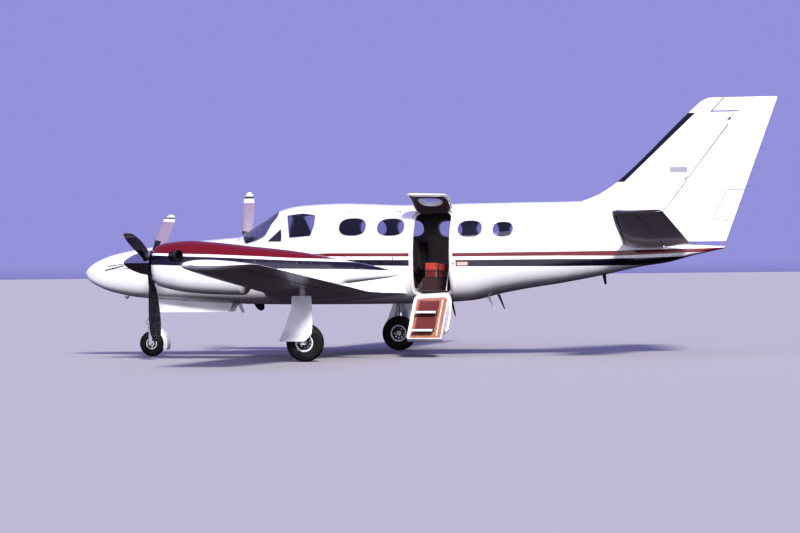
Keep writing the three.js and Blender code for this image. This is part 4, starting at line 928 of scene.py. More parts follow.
# Cut-outs at the hinge brackets: station, height, length, height of each notch
NOTCHES = ((9.62, 2.62, 0.10, 0.05), (9.50, 2.46, 0.05, 0.04), (10.24, 3.50, 0.06, 0.05))
# The fin's cut walls, the notches' too, take the near-black paint: painted shade in the gaps.
fin = lofted("fin_skin", whole_fin, paint=(fin_paint, bay_wall_shade))
room = rudder_room(BAY_GAP + 0.001, HORN["ahead"], HORN["under"])
carved(fin, in_second_paint(room))
foot = RUDDER_LOW + BAY_GAP
carved(fin, side_plate([(8.7, 1.5), (10.3, 1.5), (10.3, foot), (8.7, foot)], 0.2, 1))
for s, z0, length, tall in NOTCHES:
    notch = [(s - length, z0), (s, z0), (s, z0 + tall), (s - length * 0.4, z0 + tall)]
    carved(fin, side_plate(notch, 0.2, 1))
carved(fin, solid_fuselage(0.003))
faired(fin, angle=28)
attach(fin, "airframe")
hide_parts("fin")
rudder = lofted("rudder_skin", whole_fin, paint=(rudder_paint, bay_wall_shade))
carved(rudder, rudder_room(0.0), "INTERSECT")
faired(rudder, angle=28)
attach(rudder, "rudder_body")
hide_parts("rudder")


# Nacelles
# Each cowl is a set of formed aluminium panels round the engine, with a rolled intake lip under the
# spinner, and its fairing runs back over the wing to a point. Two bent steel stacks stick out of the sides.
NACELLE = np.array([
    # station, top, bottom, half width
    (1.945, 1.612, 1.300, 0.150), (1.975, 1.672, 1.175, 0.205), (2.05, 1.726, 1.112, 0.262),
    (2.20, 1.760, 1.068, 0.305), (2.50, 1.780, 1.015, 0.332), (2.90, 1.752, 0.985, 0.335),
    (3.34, 1.702, 0.972, 0.325), (3.42, 1.692, 1.060, 0.322), (3.90, 1.640, 1.065, 0.292),
    (4.35, 1.575, 1.080, 0.250), (4.77, 1.490, 1.115, 0.200), (5.20, 1.410, 1.165, 0.130),
    (5.50, 1.335, 1.205, 0.072), (5.69, 1.272, 1.238, 0.016),
])
NACELLE_Y, SHAFT, FIREWALL, COWL_WALL = 2.32, 1.46, 3.33, 0.020
INTAKE = dict(height=1.225, half_width=0.165, half_depth=0.062, back=2.24, lip=0.013)
STACK = np.array([(2.29, 0.12, 1.54), (2.335, 0.338, 1.56), (2.478, 0.404, 1.572)])
STACK_RADII, STACK_WALL, STACK_ROOM = (0.060, 0.072), 0.004, 0.012


def tube(name, path, radius, paint=(), count=20, ends="flat"):
    """A round bar along a path: each ring lies square to the path's slope there, about side and other, two
    directions square to it. The radius is one number, or one for each point of the path."""
    rings = tube_rings(path, radius, count, ends)
    return lofted(name, rings, ends, paint)


def tube_rings(path, radius, count=20, ends="flat"):
    """The rings of a round bar: path + radius (cos a side + sin a other)."""
    path = np.asarray(path, float)
    slope = np.roll(path, -1, 0) - np.roll(path, 1, 0) if ends == "joined" else np.gradient(path, axis=0)
    slope /= np.linalg.norm(slope, axis=1, keepdims=True)
    steady = np.eye(3)[np.abs(slope).max(0).argmin()]
    side = np.cross(slope, steady)
    side /= np.linalg.norm(side, axis=1, keepdims=True)
    other = np.cross(slope, side)
    a = (2 * math.pi * np.arange(count) / count)[None, :, None]
    reach = np.broadcast_to(np.asarray(radius, float), len(path))[:, None, None]
    return path[:, None] + reach * (np.cos(a) * side[:, None] + np.sin(a) * other[:, None])


def arc_through(start, corner, end, count=24):
    """A smooth bend: (1-t)^2 start + 2t(1-t) corner + t^2 end."""
    t = np.linspace(0, 1, count)[:, None]
    return (1 - t) ** 2 * np.array(start) + 2 * t * (1 - t) * np.array(corner) + t ** 2 * np.array(end)


# Livery of the cowl: stations and heights of the crimson area's low edge, then the blue band's two edges
CRIMSON_LOW = (
    (1.945, 1.603), (2.07, 1.600), (2.53, 1.587), (2.98, 1.571), (3.53, 1.544), (4.14, 1.509), (4.86, 1.484),
    (5.69, 1.46),
)
BAND_HIGH = ((1.945, 1.570), (2.07, 1.566), (2.98, 1.531), (4.14, 1.474), (5.0, 1.44), (5.69, 1.42))
BAND_LOW = ((1.945, 1.43), (2.14, 1.426), (3.90, 1.355), (4.88, 1.339), (5.50, 1.316), (5.69, 1.30))
nacelle_paint, tree, shader = coating("nacelle_paint", Coat_Weight=0.2, Coat_Roughness=0.08)
x, y, z = axes_of(tree)
crimson, band_high, band_low = (height_of_edge(tree, x, *zip(*edge))
                                for edge in (CRIMSON_LOW, BAND_HIGH, BAND_LOW))
colour = painted_over(tree, WHITE, BLUE, between(tree, z, band_low, band_high))
colour = painted_over(tree, colour, RED, sums(tree, "GREATER_THAN", z, crimson))
soot_reach = node(tree, "MapRange", From_Min=2.42 + NOSE, From_Max=3.05 + NOSE, To_Min=0.55, To_Max=0.0)
tree.links.new(x, soot_reach.inputs["Value"])
soot = sums(tree, "MULTIPLY", soot_reach.outputs["Result"], mottle(tree, 5, 0.1, 1.0))
soot = sums(tree, "MULTIPLY", soot, between(tree, z, 1.50, 1.63, 0.05))
soot = sums(tree, "MULTIPLY", soot, sums(tree, "GREATER_THAN", x, 2.36 + NOSE))
colour = painted_over(tree, colour, (0.05, 0.04, 0.04, 1), soot)
bump = weathered(tree, shader, colour)
tree.links.new(seams_and_rivets(tree, bump, x, z, 0.62, 0.20), shader.inputs["Normal"])
duct_metal = uneven("duct_metal", (0.20, 0.19, 0.19, 1), (26, 0.4, 0.62), Metallic=0.7)
bright_lip = uneven("intake_lip", (0.62, 0.61, 0.62, 1), (40, 0.16, 0.32), Metallic=0.9)
stack_steel, tree, shader = coating("stack_steel", Metallic=0.5)
heat = node(tree, "ValToRGB")
heat.color_ramp.elements[0].color = (0.045, 0.036, 0.032, 1)
heat.color_ramp.elements[1].color = (0.10, 0.088, 0.084, 1)
heat.color_ramp.elements.new(0.55).color = (0.040, 0.036, 0.044, 1)
tree.links.new(mottle(tree, 11, 0.0, 1.0), heat.inputs["Fac"])
tree.links.new(heat.outputs["Color"], shader.inputs["Base Color"])
tree.links.new(mottle(tree, 30, 0.45, 0.65), shader.inputs["Roughness"])
# Sooty black inside the stacks; the same black is laid on the nose slots and the latch slot as painted shade
# of their dark insides.
soot_and_slot_shade = uneven("soot_and_slot_shade", (0.006, 0.006, 0.006, 1), (40, 0.8, 1.0), Specular_IOR_Level=0.1)

nacelle_stations = np.concatenate([np.linspace(1.945, 2.05, 14), np.arange(2.08, 3.30, 0.04),
                                   np.linspace(3.31, 3.45, 12), np.arange(3.5, 5.69, 0.05), [5.69]])
for name, side in SIDES.items():
    y0 = side * NACELLE_Y
    hoops, field = oval_body(NACELLE, y0, (2.3, 2.5))
    cowl = lofted(f"cowl_{name}", hoops(nacelle_stations, 112), paint=(nacelle_paint, duct_metal))
    inside = lofted("tool", hoops(np.concatenate([np.linspace(1.945, 2.05, 8), np.arange(2.1, 3.31, 0.1),
                                                  [FIREWALL]]), 72, COWL_WALL))
    places = points_of(inside.data)
    places[:72, 0] -= 0.02
    inside.data.vertices.foreach_set("co", places.ravel())
    a = 2 * math.pi * np.arange(64) / 64
    rim = np.stack([np.full(64, 1.93 + NOSE), y0 + INTAKE["half_width"] * np.cos(a),
                    INTAKE["height"] + INTAKE["half_depth"] * np.sin(a)], 1)
    tools = [inside, prism("tool", rim, (1, 0, 0), 0, INTAKE["back"] - 1.93)]
    for flank in (-1, 1):
        turn = STACK * (1, flank, 1) + (NOSE, y0, 0)
        room = np.linspace(STACK_RADII[0], STACK_RADII[1], 24) + STACK_ROOM
        tools.append(tube("tool", arc_through(*turn), room, count=32))
    for tool in tools:
        carved(cowl, in_second_paint(tool))
    faired(cowl, field, 30)
    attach(cowl, "airframe")
    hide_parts(f"nacelle_{name}")
    # The lip follows the curve where the mouth meets the cowl: its station is found by halving steps
    low, high = np.full(64, 1.946), np.full(64, 2.4)
    for _ in range(30):
        middle = (low + high) / 2
        inside_cowl = field(np.stack([middle + NOSE, rim[:, 1], rim[:, 2]], 1)) < 0
        low, high = np.where(inside_cowl, low, middle), np.where(inside_cowl, middle, high)
    edge = np.stack([low + NOSE + 0.004, rim[:, 1], rim[:, 2]], 1)
    lip = faired(tube(f"intake_lip_{name}", edge, INTAKE["lip"], (bright_lip,), 16, "joined"))
    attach(lip, "airframe")

# Engines
# The engine is a stepped steel casing on the firewall, with ring flanges, and its nose carries the shaft.
# The two bent stacks are pipes with a wall, heat-stained outside and sooty inside.
    casing = np.array([
        # station, radius
        (1.9325, 0.048), (2.07, 0.060), (2.075, 0.135), (2.10, 0.150), (2.105, 0.158), (2.125, 0.158),
        (2.13, 0.146), (2.52, 0.165), (2.525, 0.182), (2.55, 0.182), (2.555, 0.168), (2.95, 0.186),
        (2.955, 0.2), (2.98, 0.2), (2.985, 0.19), (3.329, 0.205),
    ])
    core = lofted(f"engine_core_{name}", tube_rings(
        np.stack([casing[:, 0] + NOSE, np.full(len(casing), y0), np.full(len(casing), SHAFT)], 1),
        casing[:, 1], 48), paint=(duct_metal,))
    stacks = []
    for flank in (-1, 1):
        turn = arc_through(*(STACK * (1, flank, 1) + (NOSE, y0, 0)))
        outer = np.linspace(*STACK_RADII, 24)
        walls = tube_rings(turn, outer, 40), tube_rings(turn, outer - STACK_WALL, 40)
        stacks.append(closed_shell("stack", *walls, (stack_steel, soot_and_slot_shade)))
    engine = faired(merged(f"engine_unit_{name}", [core] + stacks), angle=35)
    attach(engine, "airframe")
    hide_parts(f"engine_{name}")


# Propellers
# Three twisted aluminium blades on each hub, parked edge to the wind: one face is black, the other grey
# with a banded tip, and a rubber boot covers each root. The spinner is polished.
BLADE = np.array([
    # radius, chord, thickness, twist in degrees
    (0.04, 0.074, 0.074, 0), (0.19, 0.078, 0.068, 0), (0.30, 0.118, 0.044, 24), (0.52, 0.172, 0.026, 16),
    (0.82, 0.196, 0.017, 8), (1.06, 0.170, 0.012, 2), (1.15, 0.128, 0.009, 0), (1.18, 0.060, 0.006, 0),
])
PROP_STATION, HUB_RADIUS, HUB_FRONT, SET_BACK = 1.875, 0.112, 1.77, 0.035
SPINNER = dict(tip=1.47, back=1.932)
SPINNER_DOME = np.array([
    # distance from the tip, radius
    (0, 0.002), (0.008, 0.022), (0.052, 0.062), (0.150, 0.116), (0.300, 0.166), (0.461, 0.190),
])
CLOCKS = {"left": 52, "right": 13}
SHANK_ROOM = 0.046


def blade_paint(name, colour, bands):
    """Satin paint that reads the distance from the shaft: the blade's colour, then its bands. A rubber boot
    covers the front half of the chord out to 0.52."""
    material, tree, shader = coating(name, Roughness=0.42, Specular_IOR_Level=0.25)
    out = node(tree, "Attribute", attribute_name="out").outputs["Fac"]
    front = node(tree, "Attribute", attribute_name="front").outputs["Fac"]
    shade = colour
    for low, high, band in bands:
        shade = painted_over(tree, shade, band, between(tree, out, low, high))
    boot = sums(tree, "MULTIPLY", sums(tree, "GREATER_THAN", front, 0.45), sums(tree, "LESS_THAN", out, 0.52))
    boot = sums(tree, "MAXIMUM", boot, sums(tree, "LESS_THAN", out, 0.25))
    shade = painted_over(tree, shade, (0.012, 0.012, 0.013, 1), boot)
    worn = sums(tree, "MULTIPLY", mottle(tree, 55, -2.2, 1.0, 8), 0.35)
    shade = painted_over(tree, shade, (0.35, 0.34, 0.35, 1), sums(tree, "MAXIMUM", worn, 0))
    tree.links.new(shade, shader.inputs["Base Color"])
    tree.links.new(mottle(tree, 24, 0.34, 0.52), shader.inputs["Roughness"])
    return material


BAND_WHITE, BAND_DARK = (0.84, 0.83, 0.84, 1), (0.03, 0.02, 0.03, 1)
blade_black = blade_paint("blade_black", (0.016, 0.015, 0.018, 1), ())
blade_grey = blade_paint("blade_grey", (0.25, 0.20, 0.27, 1), (
    (1.00, 1.20, BAND_WHITE), (1.07, 1.11, BAND_DARK)))
polished = uneven("polished_spinner", (0.56, 0.56, 0.61, 1), (16, 0.05, 0.13), Metallic=1.0)
hub_steel = uneven("hub_steel", (0.10, 0.10, 0.11, 1), (30, 0.35, 0.55), Metallic=0.8)


def blade(y0, clock):
    """One blade: at each radius an aerofoil-like oval, thick in front and thin behind, u = chord/2 cos a and
    v = thickness/2 sin a (1 + 0.35 cos a), turned by the twist; chord lies along x when parked."""
    out_way = np.array((0, math.sin(clock), math.cos(clock)))
    lift_way = np.array((0, math.cos(clock), -math.sin(clock)))
    near_tip = 1.14 + 0.04 * np.sin(np.linspace(0, math.pi / 2, 9)[1:])
    radii = np.concatenate([np.linspace(0.04, 1.14, 56), near_tip])
    chord, thick, twist = (fair(BLADE[:, 0], BLADE[:, k])(radii)[:, None, None] for k in (1, 2, 3))
    tip = np.clip((radii - 1.00) / 0.18, 0, 1)[:, None, None]
    at_tip = chord[radii.searchsorted(1.00)] * np.sqrt(np.maximum(1 - tip ** 2.0, 0.0009))
    chord = np.where(radii[:, None, None] > 1.00, at_tip, chord)
    twist = np.radians(twist)
    a = (2 * math.pi * np.arange(36) / 36)[None, :, None]
    thin_rear = np.clip((radii[:, None, None] - 0.19) / 0.12, 0, 1) * 0.5
    set_back = np.clip((radii[:, None, None] - 0.19) / 0.2, 0, 1) * SET_BACK
    u, v = set_back - chord / 2 * np.cos(a), thick / 2 * np.sin(a) * (1 + thin_rear * np.cos(a))
    forward_way = np.array((1.0, 0, 0))
    rings = (np.array((PROP_STATION + NOSE, y0, SHAFT)) + radii[:, None, None] * out_way
             + (u * np.cos(twist) - v * np.sin(twist)) * forward_way
             + (u * np.sin(twist) + v * np.cos(twist)) * lift_way)
    piece = lofted("blade", rings, paint=(blade_black, blade_grey))
    faces = np.append(np.tile((np.arange(36) >= 18).astype(np.int32), len(radii) - 1), (0, 0))
    piece.data.polygons.foreach_set("material_index", faces.astype(np.int32))
    piece.data.attributes.new("out", "FLOAT", "POINT").data.foreach_set("value", np.repeat(radii, 36))
    front = np.broadcast_to(0.5 + 0.5 * np.cos(a[..., 0]), (len(radii), 36)).ravel()
    piece.data.attributes.new("front", "FLOAT", "POINT").data.foreach_set("value", front)
    return piece


for name, side in SIDES.items():
    y0 = side * NACELLE_Y
    centre = np.array((NOSE, y0, SHAFT))
    blades = [blade(y0, math.radians(CLOCKS[name] + turn)) for turn in (0, 120, 240)]
    hub = tube("hub", centre + np.array([(s, 0, 0) for s in (HUB_FRONT, 1.79, 1.92, 1.932)]),
               (HUB_RADIUS * 0.8, HUB_RADIUS, HUB_RADIUS, HUB_RADIUS * 0.9), (hub_steel,), 40)
    propeller = faired(merged(f"propeller_{name}_blades", blades + [hub]), angle=40)
    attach(propeller, f"propeller_{name}_body")
    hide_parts(f"propeller_{name}")
    along = 0.461 * np.linspace(0, 1, 40) ** 1.8
    dome = fair(np.sqrt(SPINNER_DOME[:, 0]), SPINNER_DOME[:, 1])(np.sqrt(along))
    axis = centre + np.stack([along + SPINNER["tip"], 0 * along, 0 * along], 1)
    spinner = tube(f"spinner_{name}_dome", axis, np.maximum(dome, 0.002), (polished, hub_steel), 72)
    hub_axis = centre + np.array([(s, 0, 0) for s in (HUB_FRONT - 0.0005, 1.96)])
    tools = [tube("tool", hub_axis, HUB_RADIUS + 0.004, count=40)]
    for turn in (0, 120, 240):
        clock = math.radians(CLOCKS[name] + turn)
        reach = np.array((0, math.sin(clock), math.cos(clock)))
        root = centre + (PROP_STATION, 0, 0)
        tools.append(tube("tool", np.stack([root, root + 0.26 * reach]), SHANK_ROOM, count=32))
    for tool in tools:
        carved(spinner, in_second_paint(tool))
    faired(spinner, angle=40)
    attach(spinner, f"propeller_{name}_body")
    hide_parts(f"spinner_{name}")


# Wheels
# Each wheel is a split cast rim, painted white, with a web full of holes that cools the brake; the web is
# darkened as painted shade of the rim's recess. A grooved tyre's beads grip the rim's flanges. The three turn
# freely on their axles.
MAIN_AXLE, NOSE_AXLE = (4.39, 2.734, 0.28), (1.10, 0.0, 0.20)
AXLE_RADIUS = 0.022
# Radius, width, rim radius, number of web holes, radius of a hole
MAIN_TYRE, NOSE_TYRE = (0.280, 0.165, 0.128, 9, 0.0135), (0.200, 0.135, 0.082, 3, 0.0175)

rubber = uneven("tyre_rubber", (0.008, 0.007, 0.008, 1), (30, 0.6, 0.9),
                worn=((0.045, 0.040, 0.038, 1), (13, 0.0, 0.5, 7)), grain=(0.3, 0.001, (160, 0, 1)),
                Specular_IOR_Level=0.2)
rim_white = uneven("rim_white", (0.80, 0.80, 0.79, 1), (30, 0.3, 0.5),
                   worn=((0.33, 0.29, 0.26, 1), (26, -0.5, 0.45, 7)), Coat_Weight=0.3)
# Near black for the web and the holes' walls: painted shade inside the rim.
web_painted_shade = uneven("rim_web_shade", (0.035, 0.033, 0.033, 1), (30, 0.45, 0.7), Metallic=0.3)


def wheel(name, centre, tyre, body):
    """A tyre and its rim about the y axis. The tyre's outline is across = half cos^0.8 and radius = bead +
    depth sin^0.72, less four grooves; the rim's is a flange, a well, a dished web and a hub."""
    radius, width, rim, holes, hole_radius = tyre
    half, bead = width / 2, rim + 0.008
    a = np.linspace(math.pi, 0, 61)
    across = np.sign(np.cos(a)) * np.abs(np.cos(a)) ** 0.8 * half
    across[[0, -1]] *= 0.72
    high = bead + (radius - bead) * np.maximum(np.sin(a), 0) ** 0.72
    for groove in (-0.42, -0.15, 0.15, 0.42):
        high -= 0.006 * np.exp(-((across / half - groove) / 0.035) ** 4) * (high > radius - 0.03)
    high -= 0.0012 * (np.abs(high - (bead + 0.35 * (radius - bead))) < 0.003)
    centre = np.array(centre)
    outline = np.stack([across, high], 1)
    a = (2 * math.pi * np.arange(96) / 96)[None, :]

    def spun(profile):
        y, r = profile[:, :1], profile[:, 1:]
        return np.stack(np.broadcast_arrays(r * np.cos(a), y, r * np.sin(a)), -1) + centre

    tread = faired(lofted(f"{name}_tread", spun(outline), "joined", (rubber,)), angle=40)
    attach(tread, body)
    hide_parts(f"{name}_tyre")
    edge = bead - 0.0004
    side = np.array([
        # share of half the width, radius
        (0.50, AXLE_RADIUS + 0.0005), (0.50, 0.034), (0.47, 0.038), (0.26, 0.042), (0.20, 0.05),
        (0.20, edge * 0.70), (0.30, edge * 0.76), (0.52, edge * 0.80), (0.66, edge * 0.84),
        (0.70, edge * 0.90), (0.66, edge),
    ]) * (half, 1)
    profile = np.concatenate([side, side[::-1] * (-1, 1)])
    disc = lofted(f"{name}_hub", spun(profile), "joined", (rim_white, web_painted_shade))
    # The web's rows take the near-black paint: painted shade in the rim's recess.
    dark = np.repeat(np.isin(np.arange(len(profile)), (3, 4, 5, 6, 14, 15, 16, 17)), 96).astype(np.int32)
    disc.data.polygons.foreach_set("material_index", dark)
    for turn in 2 * math.pi * np.arange(holes) / holes + 0.4:
        middle = centre + (edge * 0.56 * math.cos(turn), 0, edge * 0.56 * math.sin(turn))
        tool = tube("tool", np.array([middle - (0, 0.05, 0), middle + (0, 0.05, 0)]), hole_radius, count=20)
        carved(disc, in_second_paint(tool))
    faired(disc, angle=35)
    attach(disc, body)
    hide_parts(f"{name}_rim")


for name, side in SIDES.items():
    x0, y0, z0 = MAIN_AXLE
    wheel(f"main_wheel_{name}", (x0 + NOSE, side * y0, z0), MAIN_TYRE, f"main_wheel_{name}_body")
wheel("nose_wheel", (NOSE_AXLE[0] + NOSE, 0, NOSE_AXLE[2]), NOSE_TYRE, "nose_wheel_body")


# Main legs and their doors
# A steel oleo outboard of each wheel, its bright piston held by forged scissor links, a side brace, the
# brake and its hose. The door is a flat white panel on two short brackets.
LEG_Y, LEG_RADIUS, PISTON_RADIUS = 2.868, 0.046, 0.032
LEG_DOOR = (
    (4.255, 0.96), (4.545, 0.96), (4.562, 0.58), (4.545, 0.40), (4.44, 0.30), (4.052, 0.30), (4.15, 0.52),
    (4.245, 0.78),
)
leg_grey = uneven("leg_enamel", (0.52, 0.52, 0.54, 1), (30, 0.3, 0.55),
                  worn=((0.14, 0.12, 0.11, 1), (20, -0.4, 0.6, 7)), Coat_Weight=0.2)
chrome = uneven("piston_chrome", (0.78, 0.78, 0.80, 1), (50, 0.06, 0.16), Metallic=1.0)
hose_black = uneven("hose_rubber", (0.02, 0.02, 0.02, 1), (50, 0.5, 0.7))
door_white, tree, shader = coating("door_paint", Coat_Weight=0.45, Coat_Roughness=0.1)
weathered(tree, shader, WHITE, 0.05)


def bars(name, paint, runs, angle=35):
    """Several round bars as one piece: each run is its points and its radius or radii."""
    return faired(merged(name, [tube("bar", np.array(path, float), radius, (paint,), 24)
                                for path, radius in runs]), angle=angle)


def collared(bottom, top, radius, rings):
    """Points and radii of a straight bar with raised collars: share of the length, and added radius."""
    start, end = np.array(bottom, float), np.array(top, float)
    share, extra = [0.0], [0.0]
    for place, rise in rings:
        share += [place - 0.024, place - 0.020, place + 0.020, place + 0.024]
        extra += [0, rise, rise, 0]
    share, extra = np.array(share + [1.0]), np.array(extra + [0.0])
    return start + share[:, None] * (end - start), radius + extra


def panel_leaf(name, outline, y1, y2, radius=0.03):
    """A door leaf in side view: its rounded outline between two distances out."""
    corners = rounded(outline, radius)
    edge = np.stack([corners[:, 0] + NOSE, np.full(len(corners), (y1 + y2) / 2), corners[:, 1]], 1)
    return faired(prism_in(name, edge, (y1 - y2) / 2), angle=30)


def prism_in(name, edge, half):
    """A bar along y with a fine bevel round both faces, half thick on either side of the outline."""
    middle = edge.mean(0)
    inner = middle + (edge - middle) * 0.992
    way = np.array((0, abs(half), 0))
    bevel = 0.0015
    rings = np.stack([inner - way, edge - way * (1 - bevel / abs(half)), edge + way * (1 - bevel / abs(half)),
                      inner + way])
    return lofted(name, rings)


for name, side in SIDES.items():
    x0, y0, z0 = (MAIN_AXLE[0] + NOSE, side * MAIN_AXLE[1], MAIN_AXLE[2])
    leg = side * LEG_Y
    in_wing = WING_HEIGHT + DIHEDRAL * LEG_Y - 0.02
    steel = bars("steel", leg_grey, [
        collared((x0, leg, z0 + 0.33), (x0, leg, in_wing), LEG_RADIUS,
                 ((0.05, 0.006), (0.5, 0.003), (0.93, 0.004))),
        collared((x0, leg, z0 - 0.03), (x0, leg, z0 + 0.06), 0.040, ()),
        ([(x0, leg - side * 0.004, z0), (x0, side * (MAIN_AXLE[1] - 0.05), z0)], AXLE_RADIUS),
        ([(x0 + 0.03, leg, z0 + 0.03), (x0 + 0.135, leg, z0 + 0.21)], (0.020, 0.012)),
        ([(x0 + 0.135, leg, z0 + 0.21), (x0 + 0.04, leg, z0 + 0.385)], (0.012, 0.020)),
        ([(x0 + 0.135, leg - 0.028, z0 + 0.21), (x0 + 0.135, leg + 0.028, z0 + 0.21)], 0.016),
        collared((x0, leg, z0 + 0.56), (x0 - 0.03, side * (LEG_Y - 0.33), in_wing - 0.03), 0.024,
                 ((0.12, 0.006), (0.5, 0.004), (0.9, 0.004))),
        ([(x0, leg, 0.47), (x0, side * 2.926, 0.47)], 0.018),
        ([(x0, leg, 0.82), (x0, side * 2.926, 0.82)], 0.018),
        ([(x0 - 0.075, side * 2.790, z0 + 0.02), (x0 - 0.075, side * 2.834, z0 + 0.02)], 0.026),
        ([(x0 - 0.075, side * 2.830, z0 + 0.02), (x0, leg, z0 + 0.01)], 0.016),
    ])
    piston = bars("piston", chrome, [([(x0, leg, z0 + 0.05), (x0, leg, z0 + 0.334)], PISTON_RADIUS)])
    brake_line = arc_through((x0 - 0.075, side * 2.825, z0 + 0.045), (x0 - 0.13, leg, z0 + 0.25),
                             (x0 - 0.048, leg, z0 + 0.52))
    hose = bars("hose", hose_black, [(brake_line, 0.006)])
    whole_leg = merged(f"main_leg_{name}_oleo", [steel, piston, hose])
    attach(whole_leg, "airframe")
    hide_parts(f"main_leg_{name}")
    leaf = panel_leaf(f"leg_door_{name}_leaf", LEG_DOOR, side * 2.9265, side * 2.942)
    leaf.data.materials.append(door_white)
    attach(leaf, "airframe")
    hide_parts(f"leg_door_{name}")


# Nose gear
# A fixed steel leg with a drag brace, and under it the steered fork with axle and mudguard. Two thin doors
# stand open beside the well.
x0, z0 = NOSE_AXLE[0] + NOSE, NOSE_AXLE[2]
nose_leg = bars("nose_leg_oleo", leg_grey, [
    collared((x0, 0, 0.6405), (x0, 0, 1.0597), 0.044, ((0.06, 0.007), (0.45, 0.004), (0.9, 0.004))),
    collared((x0 + 0.02, 0, 0.72), (x0 + 0.2, 0, 0.99), 0.018, ((0.1, 0.005), (0.5, 0.006), (0.9, 0.005))),
    ([(x0 + 0.2, -0.1497, 0.99), (x0 + 0.2, 0.1497, 0.99)], 0.020),
    (arc_through((x0 - 0.03, 0.035, 0.70), (x0 - 0.08, 0.06, 0.85), (x0 - 0.02, 0.04, 1.03)), 0.006),
])
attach(nose_leg, "airframe")
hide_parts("nose_leg")


def fork_blade(flank):
    """One flat fork leg from the crown to the axle: an oval section that narrows and comes in at its foot."""
    share = np.linspace(0, 1, 16)[:, None]
    a = (2 * math.pi * np.arange(24) / 24)[None, :]
    wide, thick = 0.034 - 0.008 * share, 0.0095
    z = 0.45 + share * (z0 - 0.03 - 0.45)
    x, y = x0 + wide * np.cos(a), flank * 0.0955 + thick * np.sin(a)
    return lofted("blade", np.stack(np.broadcast_arrays(x, y, z), -1), paint=(leg_grey,))


crown_edge = rounded([(-0.045, -0.104), (0.045, -0.104), (0.045, 0.104), (-0.045, 0.104)], 0.02)
levels = ((0.9, 0.425), (1, 0.431), (1, 0.456), (0.9, 0.462))
rings = [np.stack([crown_edge[:, 0] * k + x0, crown_edge[:, 1] * k, np.full(len(crown_edge), h)], 1)
         for k, h in levels]
crown = lofted("crown", np.stack(rings), paint=(leg_grey,))
piston = tube("piston", np.array([(x0, 0, 0.445), (x0, 0, 0.60)]), 0.032, (chrome,), 32)
neck = bars("neck", leg_grey, [
    ([(x0, 0, 0.59), (x0, 0, 0.6397)], 0.034), ([(x0, -0.104, z0), (x0, 0.104, z0)], AXLE_RADIUS),
    ([(x0, -0.110, z0), (x0, -0.102, z0)], 0.032), ([(x0, 0.102, z0), (x0, 0.110, z0)], 0.032),
    ([(x0 - 0.03, 0, 0.452), (x0 - 0.105, 0, 0.54)], (0.016, 0.011)),
    ([(x0 - 0.105, 0, 0.54), (x0 - 0.03, 0, 0.622)], (0.011, 0.016)),
])
fork = faired(merged("nose_fork_legs", [neck, crown, piston, fork_blade(-1), fork_blade(1)]), angle=35)
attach(fork, "nose_fork_body")
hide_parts("nose_fork")
crest = np.linspace(-1, 1, 15)
crest = np.stack([0.082 * crest, 0.2815 - 0.009 * np.abs(crest) ** 6], 1)
outer = np.concatenate([[(-0.082, 0.2125)], crest, [(0.082, 0.2125)]])
section = np.concatenate([outer, (outer * (0.952, 1) - (0, 0.004) * (outer[:, 1:] > 0.22))[::-1]])
turn = np.radians(np.linspace(-20, 65, 40))[:, None]
across, reach = section[None, :, 0], section[None, :, 1]
sheet = np.stack(np.broadcast_arrays(x0 + reach * np.cos(turn), across, z0 + reach * np.sin(turn)), -1)
guard = lofted("guard", sheet, paint=(door_white,))
stays = [tube("stay", [(x0 + 0.0455, flank * 0.08, 0.444), (x0 + 0.110, flank * 0.078, 0.405)], 0.006,
              (leg_grey,)) for flank in (-1, 1)]
mudguard = faired(merged("nose_mudguard_sheet", [guard] + stays), angle=40)
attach(mudguard, "nose_fork_body")
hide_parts("nose_mudguard")
NOSE_DOOR = ((1.18, 0.96), (2.48, 0.94), (2.48, 0.83), (2.41, 0.69), (1.28, 0.69), (1.18, 0.76))
for name, side in SIDES.items():
    leaf = panel_leaf(f"nose_gear_door_{name}_leaf", NOSE_DOOR, side * 0.156, side * 0.168)
    leaf.data.materials.append(door_white)
    carved(leaf, solid_fuselage(-0.0004))
    faired(leaf, angle=30)
    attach(leaf, "airframe")
    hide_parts(f"nose_gear_door_{name}")


# Windows
# Each pane is a stretched acrylic lens, flush with the skin, in a thin pale bead that holds it down.
# The two screens have a darker tint, and the strip of skin between them is the centre post.
PANE_INSET, PANE_DEPTH, BEAD = 0.005, 0.006, 0.0065


def pane(name, edge, on_skin, paint):
    """A lens that follows the skin: rings shrink from the edge to the middle, each point moved on to the skin
    at the inset, for its outer face, and at inset + depth for its inner one."""
    middle = edge.mean(0)
    shares = np.array([0.996, 0.9, 0.75, 0.55, 0.35, 0.15, 0.02])
    flat = middle + shares[:, None, None] * (edge - middle)
    outer = on_skin(flat, PANE_INSET)
    inner = on_skin(flat, PANE_INSET + PANE_DEPTH)
    return lofted(name, np.concatenate([outer[::-1], inner]), paint=(paint,))


def on_side(side):
    """Moves points sideways on to the skin's side, less an inset."""
    def moved(p, inset):
        half = flush_half(p[..., 0] - NOSE, p[..., 2])
        return np.stack([p[..., 0], side * (half - inset), p[..., 2]], -1)
    return moved


def on_top(p, inset):
    """Moves points up or down on to the upper skin, less an inset."""
    return np.stack([p[..., 0], p[..., 1], flush_top(p[..., 0] - NOSE, p[..., 1]) - inset * 1.3], -1)


def acrylic(name, tint, rough=0.03):
    """Clear tinted acrylic; the faint smears are in its roughness."""
    material, tree, shader = coating(name, Base_Color=tint, Transmission_Weight=1.0, IOR=1.49)
    tree.links.new(mottle(tree, 14, rough, rough + 0.05), shader.inputs["Roughness"])
    return material


clear = acrylic("window_acrylic", (0.80, 0.80, 0.88, 1))
screen_clear = acrylic("screen_acrylic", (0.62, 0.62, 0.70, 1))
bead_grey = uneven("window_bead", (0.50, 0.49, 0.54, 1), (40, 0.35, 0.5))


